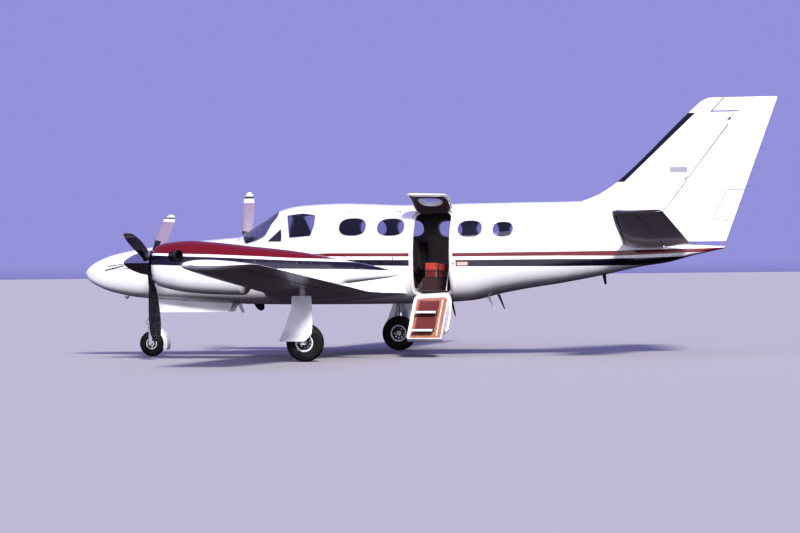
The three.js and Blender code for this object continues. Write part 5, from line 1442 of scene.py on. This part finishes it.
def glazed(name, edges, paint):
    """The panes of one group, and their beads as a second piece."""
    panes = [pane("pane", edge, way, paint) for edge, way in edges]
    glass = faired(merged(f"{name}_panes", panes), angle=40)
    beads = faired(merged(f"{name}_beads", [tube("bead", way(edge, 0.0015), BEAD, (bead_grey,), 10, "joined")
                                            for edge, way in edges]), angle=60)
    return glass, beads


def set_in(pieces, body, nodes):
    """Glass and beads ride on a body; the glass stands for the nodes."""
    for piece in pieces:
        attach(piece, body)
    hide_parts(*nodes)


GROUPS = [("cabin_left_forward", -1, OVALS_FORWARD, ("cabin_windows_left_forward",)),
          ("cabin_left_aft", -1, OVALS_AFT, ("cabin_windows_left_aft",)),
          ("cabin_right", 1, OVALS_FORWARD + (OVAL_IN_DOOR,) + OVALS_AFT, ("cabin_windows_right",))]
for name, side, ovals, nodes in GROUPS:
    edges = [(oval_edge(oval, side), on_side(side)) for oval in ovals]
    set_in(glazed(name, edges, clear), "airframe", nodes)
for name, side in SIDES.items():
    edges = [(side_edge(shape, side), on_side(side)) for shape in (SIDE_PANE, QUARTER_PANE)]
    nodes = (f"cockpit_windows_{name}",)
    set_in(glazed(f"cockpit_{name}", edges, clear), "airframe", nodes)
    nodes = (f"windscreen_{name}",)
    set_in(glazed(f"screen_{name}", [(screen_edge(side), on_top)], screen_clear), "airframe", nodes)


# Cabin door
# The upper leaf swings up and the lower one folds down as the steps. Each is a flush painted skin over a
# pressed pan, on knuckles at the frame; a pale rim goes round the opening.
UPPER_HINGE, STAIR_HINGE = (-0.428083, 2.206), (-0.571203, 0.936)
UPPER_OPEN, STAIR_OPEN = -86, 140
LEAF_GAP, LEAF_SKIN, PAN_INSET, LEAF_CORNER = 0.006, 0.020, 0.032, 0.11
# The way out through the doorway, and how far tools reach in and out of the side view's outlines
TO_PORT, PAST_WALL, PAST_RIM = (0, -1, 0), (0.42, 0.33), (0.45, 0.36)
KNUCKLE_SPANS = {"frame": ((5.600, 5.6701), (5.8599, 5.930)), "leaf": ((5.6704, 5.8596),)}
SHUT_STATIONS = np.arange(5.37, 6.2, 0.04)

leaf_paint, tree, shader = coating("leaf_paint", Coat_Weight=0.5, Coat_Roughness=0.08)
split = node(tree, "SeparateXYZ")
tree.links.new(node(tree, "Attribute", attribute_name="shut").outputs["Vector"], split.inputs[0])
weathered(tree, shader, lined(tree, WHITE, split.outputs[0], split.outputs[2], BODY_LINES))
rim_pale, tree, shader = coating("door_rim_paint", Coat_Weight=0.3)
weathered(tree, shader, (0.80, 0.76, 0.77, 1), 0.06)
# A real lining, made dark maroon as painted shade on the raised leaf's downward face.
leaf_lining_shade = uneven("leaf_lining_shade", (0.060, 0.040, 0.046, 1), (35, 0.6, 0.85))
# Near black for the tread bodies: painted shade under each tread.
tread_painted_shade = uneven("tread_painted_shade", (0.03, 0.025, 0.03, 1), (60, 0.5, 0.75))


def wall_layer(name, outside, inside, paint):
    """A hoop of the wall round the doorway, between two insets from the skin."""
    outer, inner = (skin_hoops(SHUT_STATIONS, HOOP, inset) for inset in (outside, inside))
    return closed_shell(name, outer, inner, paint)


def leaf_layer(edge, outside, inside, paint):
    """The part of a layer of the wall, between two insets from the skin, that lies within an outline."""
    layer = wall_layer("layer", outside, inside, paint)
    carved(layer, prism("tool", edge, TO_PORT, *PAST_WALL), "INTERSECT")
    return faired(layer, skin_field if outside == 0 else None)


def opened(piece, hinge, degrees):
    """Turns a mesh that was drawn shut about its hinge line, which lies along x. Its shut places stay in the
    attribute "shut", for the paint."""
    shut = piece.data.attributes.new("shut", "FLOAT_VECTOR", "POINT")
    shut.data.foreach_set("vector", points_of(piece.data).ravel())
    pin = Matrix.Translation((0, *hinge))
    piece.data.transform(pin @ Matrix.Rotation(math.radians(degrees), 4, "X") @ pin.inverted())
    return piece


def knuckle_row(hinge, spans):
    """Knuckles of one side of a hinge."""
    return [tube("knuckle", np.array([(x1 + NOSE, *hinge), (x2 + NOSE, *hinge)]), 0.0118, (leg_grey,), 20)
            for x1, x2 in spans]


def brick(name, x, y, z, paint, bevel=0.003):
    """A bar along x with a rounded section: x, y and z are pairs of limits."""
    section = rounded([(y[0], z[0]), (y[1], z[0]), (y[1], z[1]), (y[0], z[1])], bevel, 4)
    middle = section.mean(0)
    rings = [np.concatenate([np.full((len(section), 1), s), middle + (section - middle) * k], 1)
             for s, k in ((x[0], 0.96), (x[0] + 0.002, 1), (x[1] - 0.002, 1), (x[1], 0.96))]
    return lofted(name, np.array(rings), paint=(paint,))


upper_edge = door_edge(DOOR["split"], DOOR["head"], LEAF_GAP, LEAF_CORNER)
pan_edge = door_edge(DOOR["split"], DOOR["head"], PAN_INSET, LEAF_CORNER)
oval_hole = prism("tool", oval_edge(OVAL_IN_DOOR, -1), TO_PORT, 0.33, 0.33)
upper_skin = leaf_layer(upper_edge, 0.0, LEAF_SKIN, (leaf_paint, rim_pale))
# The pan's inside and the liner take the dark lining: painted shade on the leaf's downward face.
upper_pan = leaf_layer(pan_edge, LEAF_SKIN - 0.001, 0.044, (rim_pale, leaf_lining_shade))
liner_edge = door_edge(DOOR["split"], DOOR["head"], 0.062, LEAF_CORNER)
liner = leaf_layer(liner_edge, 0.0435, 0.0495, (leaf_lining_shade,))
for layer in (upper_skin, upper_pan, liner):
    carved(layer, oval_hole, keep_tool=layer is not liner)
round_oval = on_side(-1)(oval_edge(OVAL_IN_DOOR, -1, 0.008), 0.0445)
surround = tube("surround", round_oval, 0.005, (rim_pale,), 12, "joined")
arm_span = tuple(s + NOSE for s in KNUCKLE_SPANS["leaf"][0])
upper_arm = brick("arm", arm_span, (-0.437, -0.421), (2.179, 2.211), leg_grey)
upper = merged("upper_door_leaf", [upper_skin, upper_pan, liner, faired(surround), upper_arm]
               + knuckle_row(UPPER_HINGE, KNUCKLE_SPANS["leaf"]))
opened(upper, UPPER_HINGE, UPPER_OPEN)
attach(upper, "upper_door_body")
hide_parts("upper_door")
pane_and_bead = glazed("upper_door", [(oval_edge(OVAL_IN_DOOR, -1), on_side(-1))], clear)
for piece in pane_and_bead:
    opened(piece, UPPER_HINGE, UPPER_OPEN)
set_in(pane_and_bead, "upper_door_body", ("upper_door_window",))

# Steps
# The lower leaf carries a stiff box with raised edges, lined in tan trim and red carpet, and two treads
# with white nosings. It hangs from its hinge straps at 140 degrees from shut.
TREADS = (0.353, 0.700)
TREAD_DEPTH, TREAD_SPAN = 0.145, (5.598, 5.908)
tan_trim = uneven("tan_trim", (0.42, 0.17, 0.085, 1), (30, 0.5, 0.7),
                  worn=((0.28, 0.11, 0.06, 1), (18, 0, 1, 6)))
red_carpet = uneven("step_carpet", (0.075, 0.006, 0.007, 1), (90, 0.85, 1.0),
                    worn=((0.20, 0.022, 0.022, 1), (150, 0, 1, 6)), grain=(0.6, 0.003, (420, 0, 1)),
                    Sheen_Weight=0.4, Sheen_Roughness=0.5)


def on_stair(u, v):
    """Side-view place on the open steps: u down the leaf from its hinge, v up off the shut cabin side."""
    turn = math.radians(STAIR_OPEN)
    y = STAIR_HINGE[0] - u * math.sin(turn) + v * math.cos(turn)
    return np.stack([y, STAIR_HINGE[1] + u * math.cos(turn) + v * math.sin(turn)], -1)


def stair_bar(name, x, outline, paint, radius=0.004):
    """A bar along x whose section is an outline of (u, v) pairs, with rounded corners and bevelled ends."""
    section = rounded(np.array(outline, float), radius, 4)
    middle = section.mean(0)
    rings = []
    for s, shrink in ((x[0], 0.003), (x[0] + 0.003, 0), (x[1] - 0.003, 0), (x[1], 0.003)):
        inward = middle - section
        moved = section + inward / np.linalg.norm(inward, axis=1, keepdims=True) * shrink
        rings.append(np.concatenate([np.full((len(section), 1), s + NOSE), on_stair(*moved.T)], 1))
    return lofted(name, np.array(rings), paint=(paint,))


def flat_box(u0, u1, v0, v1):
    """Four corners of a flat bar on the steps."""
    return ((u0, v0), (u1, v0), (u1, v1), (u0, v1))


lower_edge = door_edge(DOOR["sill"], DOOR["split"], LEAF_GAP, LEAF_CORNER)
lower_pan = door_edge(0.980, DOOR["split"], PAN_INSET, LEAF_CORNER)
lower_skin = leaf_layer(lower_edge, 0.0, LEAF_SKIN, (leaf_paint, rim_pale))
lower_box = leaf_layer(lower_pan, LEAF_SKIN - 0.001, 0.046, (rim_pale, tan_trim))
lower_arm = brick("arm", arm_span, (-0.580, -0.5635), (0.934, 0.956), leg_grey)
shut_parts = merged("airstair_leaf", [lower_skin, lower_box, lower_arm]
                    + knuckle_row(STAIR_HINGE, KNUCKLE_SPANS["leaf"]))
opened(shut_parts, STAIR_HINGE, STAIR_OPEN)
u = np.linspace(0.095, 0.640, 10)
under = STAIR_HINGE[0] * -1 - (flush_half(5.775, STAIR_HINGE[1] + u) - LEAF_SKIN - 0.003)
hull = list(zip(u, np.minimum(under, 0.0)))
hull += [(0.665, -0.052), (0.868, -0.045), (0.868, 0.020), (0.095, 0.020)]
steps = [stair_bar("box", (5.506, 6.044), hull, rim_pale, 0.008),
         stair_bar("lining", (5.538, 6.012), flat_box(0.105, 0.858, 0.0195, 0.0245), tan_trim)]
for x in ((5.506, 5.526), (6.024, 6.044)):
    steps.append(stair_bar("edge", x, flat_box(0.10, 0.868, 0.019, 0.050), door_white, 0.008))
for x in ((5.548, 5.556), (5.946, 5.960)):
    steps.append(stair_bar("bead", x, flat_box(0.12, 0.82, 0.024, 0.044), rim_pale, 0.006))
steps.append(stair_bar("foot", (5.506, 6.044), flat_box(0.858, 0.874, -0.045, 0.038), door_white, 0.006))
for start, end in ((0.112, TREADS[0]), TREADS):
    carpet = flat_box(start + 0.03, end - 0.012, 0.024, 0.031)
    steps.append(stair_bar("carpet", (5.600, 5.906), carpet, red_carpet))
steps = [faired(merged("steps", steps), angle=35)]
# Each tread's body is near black: painted shade under the tread, below its carpet mat and white nosing.
for u in TREADS:
    y, z = on_stair(u, 0.024)
    x = tuple(s + NOSE for s in TREAD_SPAN)
    lip = y - TREAD_DEPTH
    steps += [brick("tread", (x[0] + 0.004, x[1] - 0.004), (lip, y + 0.004), (z - 0.012, z + 0.010),
                    tread_painted_shade),
              brick("mat", (x[0] + 0.006, x[1] - 0.006), (lip + 0.004, y - 0.002), (z + 0.009, z + 0.015),
                    red_carpet),
              brick("nosing", x, (lip - 0.012, lip + 0.004), (z - 0.018, z + 0.018), door_white, 0.006)]
airstair = merged("airstair_steps", [faired(piece, angle=35) for piece in steps])
for piece in (shut_parts, airstair):
    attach(piece, "airstair_body")
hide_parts("airstair")

# Door frame
# A pale formed rim stands inside the opening, a thin hem lies on the skin round it, and a white kick plate
# under the sill between the hinge straps. A hand rail of bent white tube stands inside the aft edge, fixed
# to the frame above and to the floor through a round flange.
rim = wall_layer("door_frame_rim", 0.024, 0.054, (rim_pale,))
outline = door_edge(DOOR["sill"], DOOR["head"], -0.0005)
carved(rim, prism("tool", outline, TO_PORT, *PAST_WALL), "INTERSECT")
clear = door_edge(DOOR["sill"], DOOR["head"], 0.0255, LEAF_CORNER)
carved(rim, prism("tool", clear, TO_PORT, *PAST_RIM))
for low, high in ((0.9, 1.012), (2.15, 2.26)):
    carved(rim, brick("tool", (5.585 + NOSE, 5.945 + NOSE), (-0.9, -0.2), (low, high), rim_pale))
faired(rim)
outline = port_plate(5.44, 6.11, 0.912, 2.226, 0.11)
hem = wall_layer("hem", -0.0022, 0.004, (rim_pale,))
carved(hem, prism("tool", outline, TO_PORT, *PAST_WALL), "INTERSECT")
carved(hem, prism("tool", door_edge(DOOR["sill"], DOOR["head"], -0.0008), TO_PORT, *PAST_RIM))
for low, high in ((0.88, 1.0), (2.17, 2.26)):
    carved(hem, brick("tool", (5.585 + NOSE, 5.945 + NOSE), (-0.9, -0.2), (low, high), rim_pale))
faired(hem)
plate = wall_layer("plate", -0.005, 0.002, (door_white,))
kick = port_plate(5.675, 5.960, 0.862, 0.916, 0.008, -0.6)
carved(plate, prism("tool", kick, TO_PORT, 0.2, 0.2), "INTERSECT")
faired(plate)
straps = [brick("strap", (x1 + NOSE, x2 + NOSE), y, z, leg_grey)
          for y, z in (((-0.5712, -0.5400), (0.9262, 0.9388)), ((-0.4281, -0.3920), (2.2015, 2.2120)))
          for x1, x2 in KNUCKLE_SPANS["frame"]]
knuckles = [bar for hinge in (UPPER_HINGE, STAIR_HINGE) for bar in knuckle_row(hinge, KNUCKLE_SPANS["frame"])]
frame_parts = merged("door_frame_fittings", [rim, hem, plate] + straps + knuckles)
rail_path = np.concatenate([
    arc_through((6.100 + NOSE, -0.645, 1.66), (6.085 + NOSE, -0.50, 1.66), (6.050 + NOSE, -0.500, 1.56), 12),
    arc_through((6.040 + NOSE, -0.500, 1.50), (5.995 + NOSE, -0.492, 1.25), (5.960 + NOSE, -0.490, 0.998)),
])
rail_foot = rail_path[-1] + np.array([(0, 0, 0.001), (0, 0, 0.006), (0, 0, 0.008)])
rail = merged("door_hand_rail", [tube("rail", rail_path, 0.0075, (door_white,), 12),
                                 tube("flange", rail_foot, (0.018, 0.018, 0.015), (door_white,), 20)])
faired(rail, angle=40)
for piece, of_slot in ((frame_parts, "white_paint"), (rail, "cabin_trim")):
    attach(piece, "airframe")


# Cabin fittings
# A carpeted plywood floor, an aft bulkhead covered in trim cloth and the flight deck's instrument panel
# under a padded coaming. Two red cases stand on a low chest opposite the door.
FLOOR_TOP, PANEL_FRONT = 1.0, 2.96
brown_carpet = uneven("cabin_carpet", (0.030, 0.010, 0.014, 1), (60, 0.85, 1.0),
                      worn=((0.060, 0.022, 0.026, 1), (90, 0, 1, 6)), Sheen_Weight=0.3,
                      Sheen_Roughness=0.5)
dark_plastic = uneven("dark_plastic", (0.030, 0.029, 0.032, 1), (40, 0.5, 0.75))
dial_face = uneven("dial_face", (0.006, 0.006, 0.007, 1), (40, 0.2, 0.3), Coat_Weight=1.0)
dial_rim = uneven("dial_rim", (0.34, 0.34, 0.36, 1), (60, 0.3, 0.45), Metallic=0.8)
case_red = uneven("case_cloth", (0.36, 0.022, 0.018, 1), (50, 0.6, 0.8),
                  worn=((0.52, 0.06, 0.035, 1), (26, 0, 1, 6)), Sheen_Weight=0.2)


def inside_cabin(piece, inset):
    """Trims a piece to the room within the cabin's lining."""
    return carved(piece, lofted("tool", skin_hoops(np.append(np.arange(2.24, 7.16, 0.08), 7.16), 96, inset)),
                  "INTERSECT")


def slab(name, low, high, paint, bevel=0.004):
    """A block between two corners with rounded edges along x."""
    return brick(name, (low[0] + NOSE, high[0] + NOSE), (low[1], high[1]), (low[2], high[2]), paint, bevel)


floor = slab("cabin_floor_carpet", (2.262, -0.72, 0.9705), (7.138, 0.72, FLOOR_TOP), brown_carpet)
bulkhead = slab("aft_bulkhead_panel", (7.10, -0.72, 1.0004), (7.139, 0.72, 2.3), trim_paint)
for piece, of_node, of_slot in ((floor, "cabin_floor", "carpet"), (bulkhead, "aft_bulkhead", "cabin_trim")):
    faired(inside_cabin(piece, 0.0508))
    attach(piece, "airframe")
    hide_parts(of_node)
coaming = rounded([(2.702, 1.746), (3.05, 1.762), (3.118, 1.757), (3.118, 1.744), (3.04, 1.742),
                   (2.702, 1.742)], 0.006, 4)
rings = [np.stack([coaming[:, 0] + NOSE, np.full(len(coaming), y), coaming[:, 1]], 1) for y in (-0.64, 0.64)]
glare = lofted("coaming", np.array(rings), paint=(dark_plastic,))
face = slab("face", (PANEL_FRONT, -0.64, 1.33), (3.034, 0.64, 1.7415), dark_plastic)
pedestal = slab("pedestal", (2.905, -0.11, 1.0004), (3.034, 0.11, 1.40), dark_plastic)
panel = [inside_cabin(piece, 0.064) for piece in (glare, face, pedestal)]
# Rows of dials: height, radius, offsets
for z, radius, places in ((1.66, 0.036, (-0.46, -0.37, -0.28, 0.28, 0.37, 0.46)),
                          (1.57, 0.036, (-0.46, -0.37, -0.28, 0.28, 0.37, 0.46)),
                          (1.66, 0.024, (-0.12, -0.06, 0.0, 0.06, 0.12)),
                          (1.60, 0.024, (-0.12, -0.06, 0.0, 0.06, 0.12)),
                          (1.54, 0.024, (-0.12, -0.06, 0.0, 0.06, 0.12))):
    for y in places:
        start = np.array((3.033 + NOSE, y, z))
        panel.append(tube("rim", start + np.array([(0, 0, 0), (0.004, 0, 0), (0.005, 0, 0)]),
                          (radius, radius, radius * 0.9), (dial_rim,), 24))
        panel.append(tube("face", start + np.array([(0.001, 0, 0), (0.0058, 0, 0)]), radius * 0.86,
                          (dial_face,), 24))
panel = faired(merged("instrument_panel_unit", panel), angle=35)
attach(panel, "airframe")
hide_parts("instrument_panel")


def soft_box(name, low, high, power, paint, bands=()):
    """A stuffed case: half sizes times the signed power of cos and sin, |x|^p + |y|^p + |z|^p = 1, with a
    pulled-in line at each band height."""
    low, high = np.array(low), np.array(high)
    a = np.linspace(-math.pi / 2, math.pi / 2, 41)[1:-1, None]
    b = (2 * math.pi * np.arange(64) / 64)[None, :]

    def stretch(value):
        return np.sign(value) * np.abs(value) ** (2 / power)
    x, y = stretch(np.cos(a)) * stretch(np.cos(b)), stretch(np.cos(a)) * stretch(np.sin(b))
    z = np.broadcast_to(stretch(np.sin(a)), x.shape)
    pull = 1.0
    for band in bands:
        pull = pull - 0.045 * np.exp(-((z - band) / 0.05) ** 2)
    points = (low + high) / 2 + np.stack([x * pull, y * pull, z], -1) * (high - low) / 2
    return faired(lofted(name, points, paint=(paint,)), angle=60)


chest = slab("chest", (5.50, -0.14, 1.0004), (5.90, 0.26, 1.185), brown_carpet, 0.012)
cases = [chest]
for (x1, x2), top in (((5.530, 5.708), 1.420), ((5.748, 5.862), 1.405)):
    for low, high, paint in ((1.186, 1.292, red_carpet), (1.296, top, case_red)):
        cases.append(soft_box("case", (x1 + NOSE, -0.12, low), (x2 + NOSE, 0.16, high), 7, paint, (0.0,)))
    low, high = (x1 + NOSE - 0.001, -0.122, 1.289), (x2 + NOSE + 0.001, 0.162, 1.300)
    cases.append(soft_box("strap", low, high, 9, red_carpet))
cases = faired(merged("cabin_cases", cases), angle=50)
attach(cases, "airframe")


# Seats
# Each seat is a cushion and a back of foam in dark brown leather, sewn in channels with piped edges. They sit
# on a low moulded base that slides on two floor rails. The crew's seats have a head pad on two posts.
SEAT_HALF, BACK_TOP, PAD_POWER, PAD_GRID = 0.22, 1.78, 5, 35
CABIN_SEATS = {"left": ((4.20, 1), (5.33, -1)), "right": ((4.20, 1), (5.33, -1), (6.42, -1))}
CABIN_SEAT_Y, CREW_SEAT_Y, CREW_SEAT_STATION = 0.33, 0.30, 3.88
leather = uneven("seat_leather", (0.020, 0.011, 0.011, 1), (60, 0.42, 0.62),
                 worn=((0.055, 0.032, 0.027, 1), (9, 0, 1, 6)), grain=(0.35, 0.0012, (330, 0, 1, 3)),
                 Sheen_Weight=0.15, Sheen_Roughness=0.4)
piping = uneven("seat_piping", (0.012, 0.007, 0.007, 1), (80, 0.4, 0.6))
rail_steel = uneven("seat_rail", (0.42, 0.42, 0.43, 1), (40, 0.3, 0.5), Metallic=0.9)


def pad(name, centre, half, axes, channels=(), crown=0.30):
    """A stuffed pad. A grid on each side of a cube is drawn on to |u|^p + |v|^p + |w|^p = 1. The thickness w
    is then scaled by 1 - crown + crown (1 - u^2)(1 - v^2), the sides pull in by 4% of 1 - v^2 and 1 - u^2,
    and each sewn channel takes 22% of exp(-((v - c) / 0.045)^2) off the outer face."""
    centre, half, axes = np.array(centre), np.array(half), np.array(axes, float)

    def placed(u, v, w):
        full = np.clip(1 - u ** 2, 0, 1) * np.clip(1 - v ** 2, 0, 1)
        w = w * (1 - crown + crown * full)
        for c in channels:
            w = w - 0.22 * np.exp(-((v - c) / 0.045) ** 2) * np.clip(w, 0, 1)
        u, v = u * (1 - 0.04 * np.clip(1 - v ** 2, 0, 1)), v * (1 - 0.04 * np.clip(1 - u ** 2, 0, 1))
        return centre + np.stack([u, v, w], -1) * half @ axes

    grid = np.sin(math.pi / 2 * np.linspace(-1, 1, PAD_GRID))
    a, b = np.meshgrid(grid, grid, indexing="ij")
    one = np.ones_like(a)
    sides = ((a, b, one), (b, a, -one), (one, a, b), (-one, b, a), (b, one, a), (a, -one, b))
    cube = np.concatenate([np.stack(side, -1).reshape(-1, 3) for side in sides])
    corners, index = np.unique(np.round(cube, 6), axis=0, return_inverse=True)
    index = index.reshape(6, PAD_GRID, PAD_GRID)
    quads = index[:, :-1, :-1], index[:, 1:, :-1], index[:, 1:, 1:], index[:, :-1, 1:]
    faces = np.stack(quads, -1).reshape(-1, 4)
    stuffed = corners / (np.abs(corners) ** PAD_POWER).sum(1, keepdims=True) ** (1 / PAD_POWER)
    skin = piece_from("pad", placed(*stuffed.T), faces, (leather,))
    a = 2 * math.pi * np.arange(120) / 120
    u, v = (np.sign(s) * np.abs(s) ** (2 / PAD_POWER) for s in (np.cos(a), np.sin(a)))
    welts = [tube("welt", placed(u, v, np.full(120, w)), 0.0042, (piping,), 8, "joined") for w in (-0.5, 0.5)]
    whole = faired(merged(name, [skin] + welts), angle=60)
    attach(whole, "airframe")
    return whole


def seat(name, station, y, facing, top):
    """Cushion and back of one seat, and the parts of its base: facing is 1 aft, -1 forward."""
    x = station + NOSE
    ahead, across, high = (facing, 0, 0), (0, facing, 0), (0, 0, 1)
    pad(f"{name}_cushion", (x + facing * 0.245, y, 1.3025), (SEAT_HALF - 0.004, 0.238, 0.066),
        ((0, -facing, 0), ahead, high), (-0.62, -0.2, 0.22, 0.64))
    pad(f"{name}_back", (x - facing * 0.046, y, (1.30 + top) / 2),
        (SEAT_HALF - 0.004, (top - 1.30) / 2, 0.050), (across, high, ahead), (-0.55, -0.1, 0.35, 0.72))
    near, far = sorted((x + facing * 0.065, x + facing * 0.415))
    base = [brick("base", (near, far), (y - 0.155, y + 0.155), (1.024, 1.236), dark_plastic, 0.02)]
    near, far = sorted((x - facing * 0.1035, x - facing * 0.098))
    base.append(brick("shell", (near, far), (y - 0.19, y + 0.19), (1.31, top - 0.03), dark_plastic, 0.03))
    for rail in (-0.07, 0.07):
        near, far = sorted((x + facing * 0.01, x + facing * 0.45))
        sides = (y + rail - 0.012, y + rail + 0.012)
        base.append(brick("rail", (near, far), sides, (1.0003, 1.0235), rail_steel))
    return base


for name, side in SIDES.items():
    bases = []
    for number, (station, facing) in enumerate(CABIN_SEATS[name]):
        bases += seat(f"cabin_seat_{name}_{number + 1}", station, side * CABIN_SEAT_Y, facing, BACK_TOP)
    bases = faired(merged(f"cabin_seat_bases_{name}", bases), angle=35)
    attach(bases, "airframe")
    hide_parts(f"cabin_seats_{name}")
bases = []
for name, side in SIDES.items():
    y = side * CREW_SEAT_Y
    bases += seat(f"crew_seat_{name}", CREW_SEAT_STATION, y, -1, 1.80)
    x = CREW_SEAT_STATION + NOSE + 0.055
    pad(f"crew_head_pad_{name}", (x, y, 1.925), (0.085, 0.042, 0.028), ((0, -1, 0), (0, 0, 1), (-1, 0, 0)),
        crown=0.2)
    for post in (-0.06, 0.06):
        ends = (x, y + post, 1.775), (x, y + post, 1.90)
        bases.append(tube("post", ends, 0.006, (rail_steel,), 12))
bases = faired(merged("crew_seat_bases", bases), angle=35)
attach(bases, "airframe")
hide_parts("crew_seats")


# Small fittings
# Moulded antennas, an air probe and a spring skid hang under the body. Beside the door are its latch plate
# and handle. A dark sheet behind each of the two small quarter panes is painted shade of the cockpit.
# Name, root and tip in station and height, chord at each, thickness
MASTS = (("belly_antenna_a", (6.50, 0.90), (6.60, 0.695), (0.050, 0.022), 0.012, door_white),
         ("belly_antenna_b", (6.66, 0.93), (6.755, 0.70), (0.045, 0.020), 0.012, dark_plastic),
         ("belly_antenna_c", (5.925, 0.83), (5.985, 0.60), (0.045, 0.018), 0.012, dark_plastic),
         ("air_probe_mast", (2.525, 0.84), (2.60, 0.675), (0.075, 0.045), 0.026, door_white),
         ("tail_skid", (8.288, 1.23), (8.312, 1.065), (0.060, 0.034), 0.030, rubber))
# Start and end in station and height, radius
NOSE_SLOTS = (((0.414, 1.352), (0.761, 1.423), 0.009), ((0.461, 1.411), (0.725, 1.4465), 0.006))
lamp_red = uneven("lamp_red", (0.30, 0.006, 0.008, 1), (40, 0.12, 0.25), Coat_Weight=0.8)
brass = uneven("worn_brass", (0.62, 0.44, 0.34, 1), (60, 0.3, 0.5), Metallic=0.4)


def mast(root, tip, chords, thickness, paint):
    """A blade antenna: ovals chord/2 cos a along the body and thickness/2 sin a across it, from root to tip,
    that close in over the last tenth by sqrt(1 - t^2)."""
    share = np.append(np.linspace(0, 0.90, 10), (0.94, 0.97, 0.99, 1.0))[:, None, None]
    a = (2 * math.pi * np.arange(24) / 24)[None, :, None]
    close = np.sqrt(1 - np.clip((share - 0.9) / 0.1, 0, 0.97) ** 2)
    chord = (chords[0] + (chords[1] - chords[0]) * share) * close
    start, end = (np.array((s + NOSE, 0, z)) for s, z in (root, tip))
    rings = (start + share * (end - start) + chord / 2 * np.cos(a) * np.array((1.0, 0, 0))
             + thickness / 2 * close * np.sin(a) * np.array((0, 1.0, 0)))
    return faired(lofted("mast", rings, paint=(paint,)), angle=50)


def screwed_on(piece, name, body="airframe"):
    """Names a fitting, and fixes it to its body."""
    piece.name = piece.data.name = name
    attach(piece, body)
    return piece


for name, root, tip, chords, thickness, paint in MASTS:
    screwed_on(mast(root, tip, chords, thickness, paint), name)
for name, side in SIDES.items():
    # The nose slots are black bars on the skin: painted shade for the dark inside of each slot.
    slits = []
    for start, end, radius in NOSE_SLOTS:
        run = np.linspace((start[0] + NOSE, 0, start[1]), (end[0] + NOSE, 0, end[1]), 20)
        slits.append(tube("slit", on_side(side)(run, -0.001), radius, (soot_and_slot_shade,), 8))
    screwed_on(faired(merged("slits", slits)), f"nose_slots_{name}")
    # A dark sheet just inside each quarter pane: painted shade of the dim cockpit behind it.
    shade_sheet = pane("shade_sheet", side_edge(QUARTER_PANE, side), lambda p, inset: on_side(side)(p, inset + 0.024),
                 leather)
    screwed_on(faired(shade_sheet, angle=40), f"quarter_pane_shade_{name}")
# Latch plate and handle of the door, aft of its edge
for name, (s1, s2), (z1, z2), thick, paint in (
        ("door_latch_plate", (6.085, 6.160), (1.362, 1.450), 0.006, door_white),
        ("door_handle", (6.180, 6.345), (1.375, 1.428), 0.012, brass)):
    outline = port_plate(s1, s2, z1, z2, 0.012)
    stations = np.linspace(s1 - 0.05, s2 + 0.05, 8)
    walls = (skin_hoops(stations, HOOP, inset) for inset in (-thick, 0.003))
    plate = closed_shell("plate", *walls, (paint,))
    carved(plate, prism("tool", outline, TO_PORT, 0.2, 0.2), "INTERSECT")
    screwed_on(faired(plate), name)
# The latch slot is a black bar on the skin: painted shade for the dark inside of the slot.
ends = [(6.122 + NOSE, -flush_half(6.122, beside) - 0.007, z) for beside, z in ((1.38, 1.385), (1.43, 1.425))]
screwed_on(faired(tube("slot", ends, 0.008, (soot_and_slot_shade,), 10)), "latch_slot")
# Lamp under the nose: a small pale dome
spin = np.linspace(0, math.pi / 2, 10)
centre = np.array((0.69 + NOSE, 0, 0.955))
bulb = tube("bulb", centre - np.stack([0 * spin, 0 * spin, 0.055 * np.sin(spin)], 1),
            np.maximum(0.036 * np.cos(spin), 0.002), (door_white,), 24)
screwed_on(faired(bulb, angle=60), "nose_lamp")


# Wing-tip lamps and discharge wicks
# A coloured lamp sits on each tip's leading edge, red to port and green to starboard. Four carbon wicks trail
# from the rudder and bleed off static charge.
lamp_green = uneven("lamp_green", (0.005, 0.14, 0.05, 1), (40, 0.12, 0.25), Coat_Weight=0.8)
TIP_LAMP = dict(station=3.86, out=6.60, radius=0.030, length=0.055)
for name, side in SIDES.items():
    z = WING_HEIGHT + DIHEDRAL * TIP_LAMP["out"]
    start = np.array((TIP_LAMP["station"] + NOSE, side * TIP_LAMP["out"], z + 0.012))
    ahead = np.array((-0.75, side * 0.66, 0.0))
    spin = np.linspace(0, math.pi / 2, 10)
    glow = lamp_red if side < 0 else lamp_green
    shell = tube("lamp", start + np.sin(spin)[:, None] * ahead * TIP_LAMP["length"],
                 np.maximum(TIP_LAMP["radius"] * np.cos(spin), 0.0015), (glow,), 24)
    screwed_on(faired(shell, angle=60), f"tip_lamp_{name}")
# Roots of the wicks: station and height
WICKS = ((10.335, 2.27), (10.43, 2.52), (10.535, 2.80), (10.64, 3.08))
rods = [tube("wick", np.array([(s - 0.02 + NOSE, 0, z), (s + 0.10 + NOSE, 0, z - 0.012)]), (0.0026, 0.0014),
             (hose_black,), 8) for s, z in WICKS]
screwed_on(faired(merged("wicks", rods)), "rudder_wicks", "rudder_body")
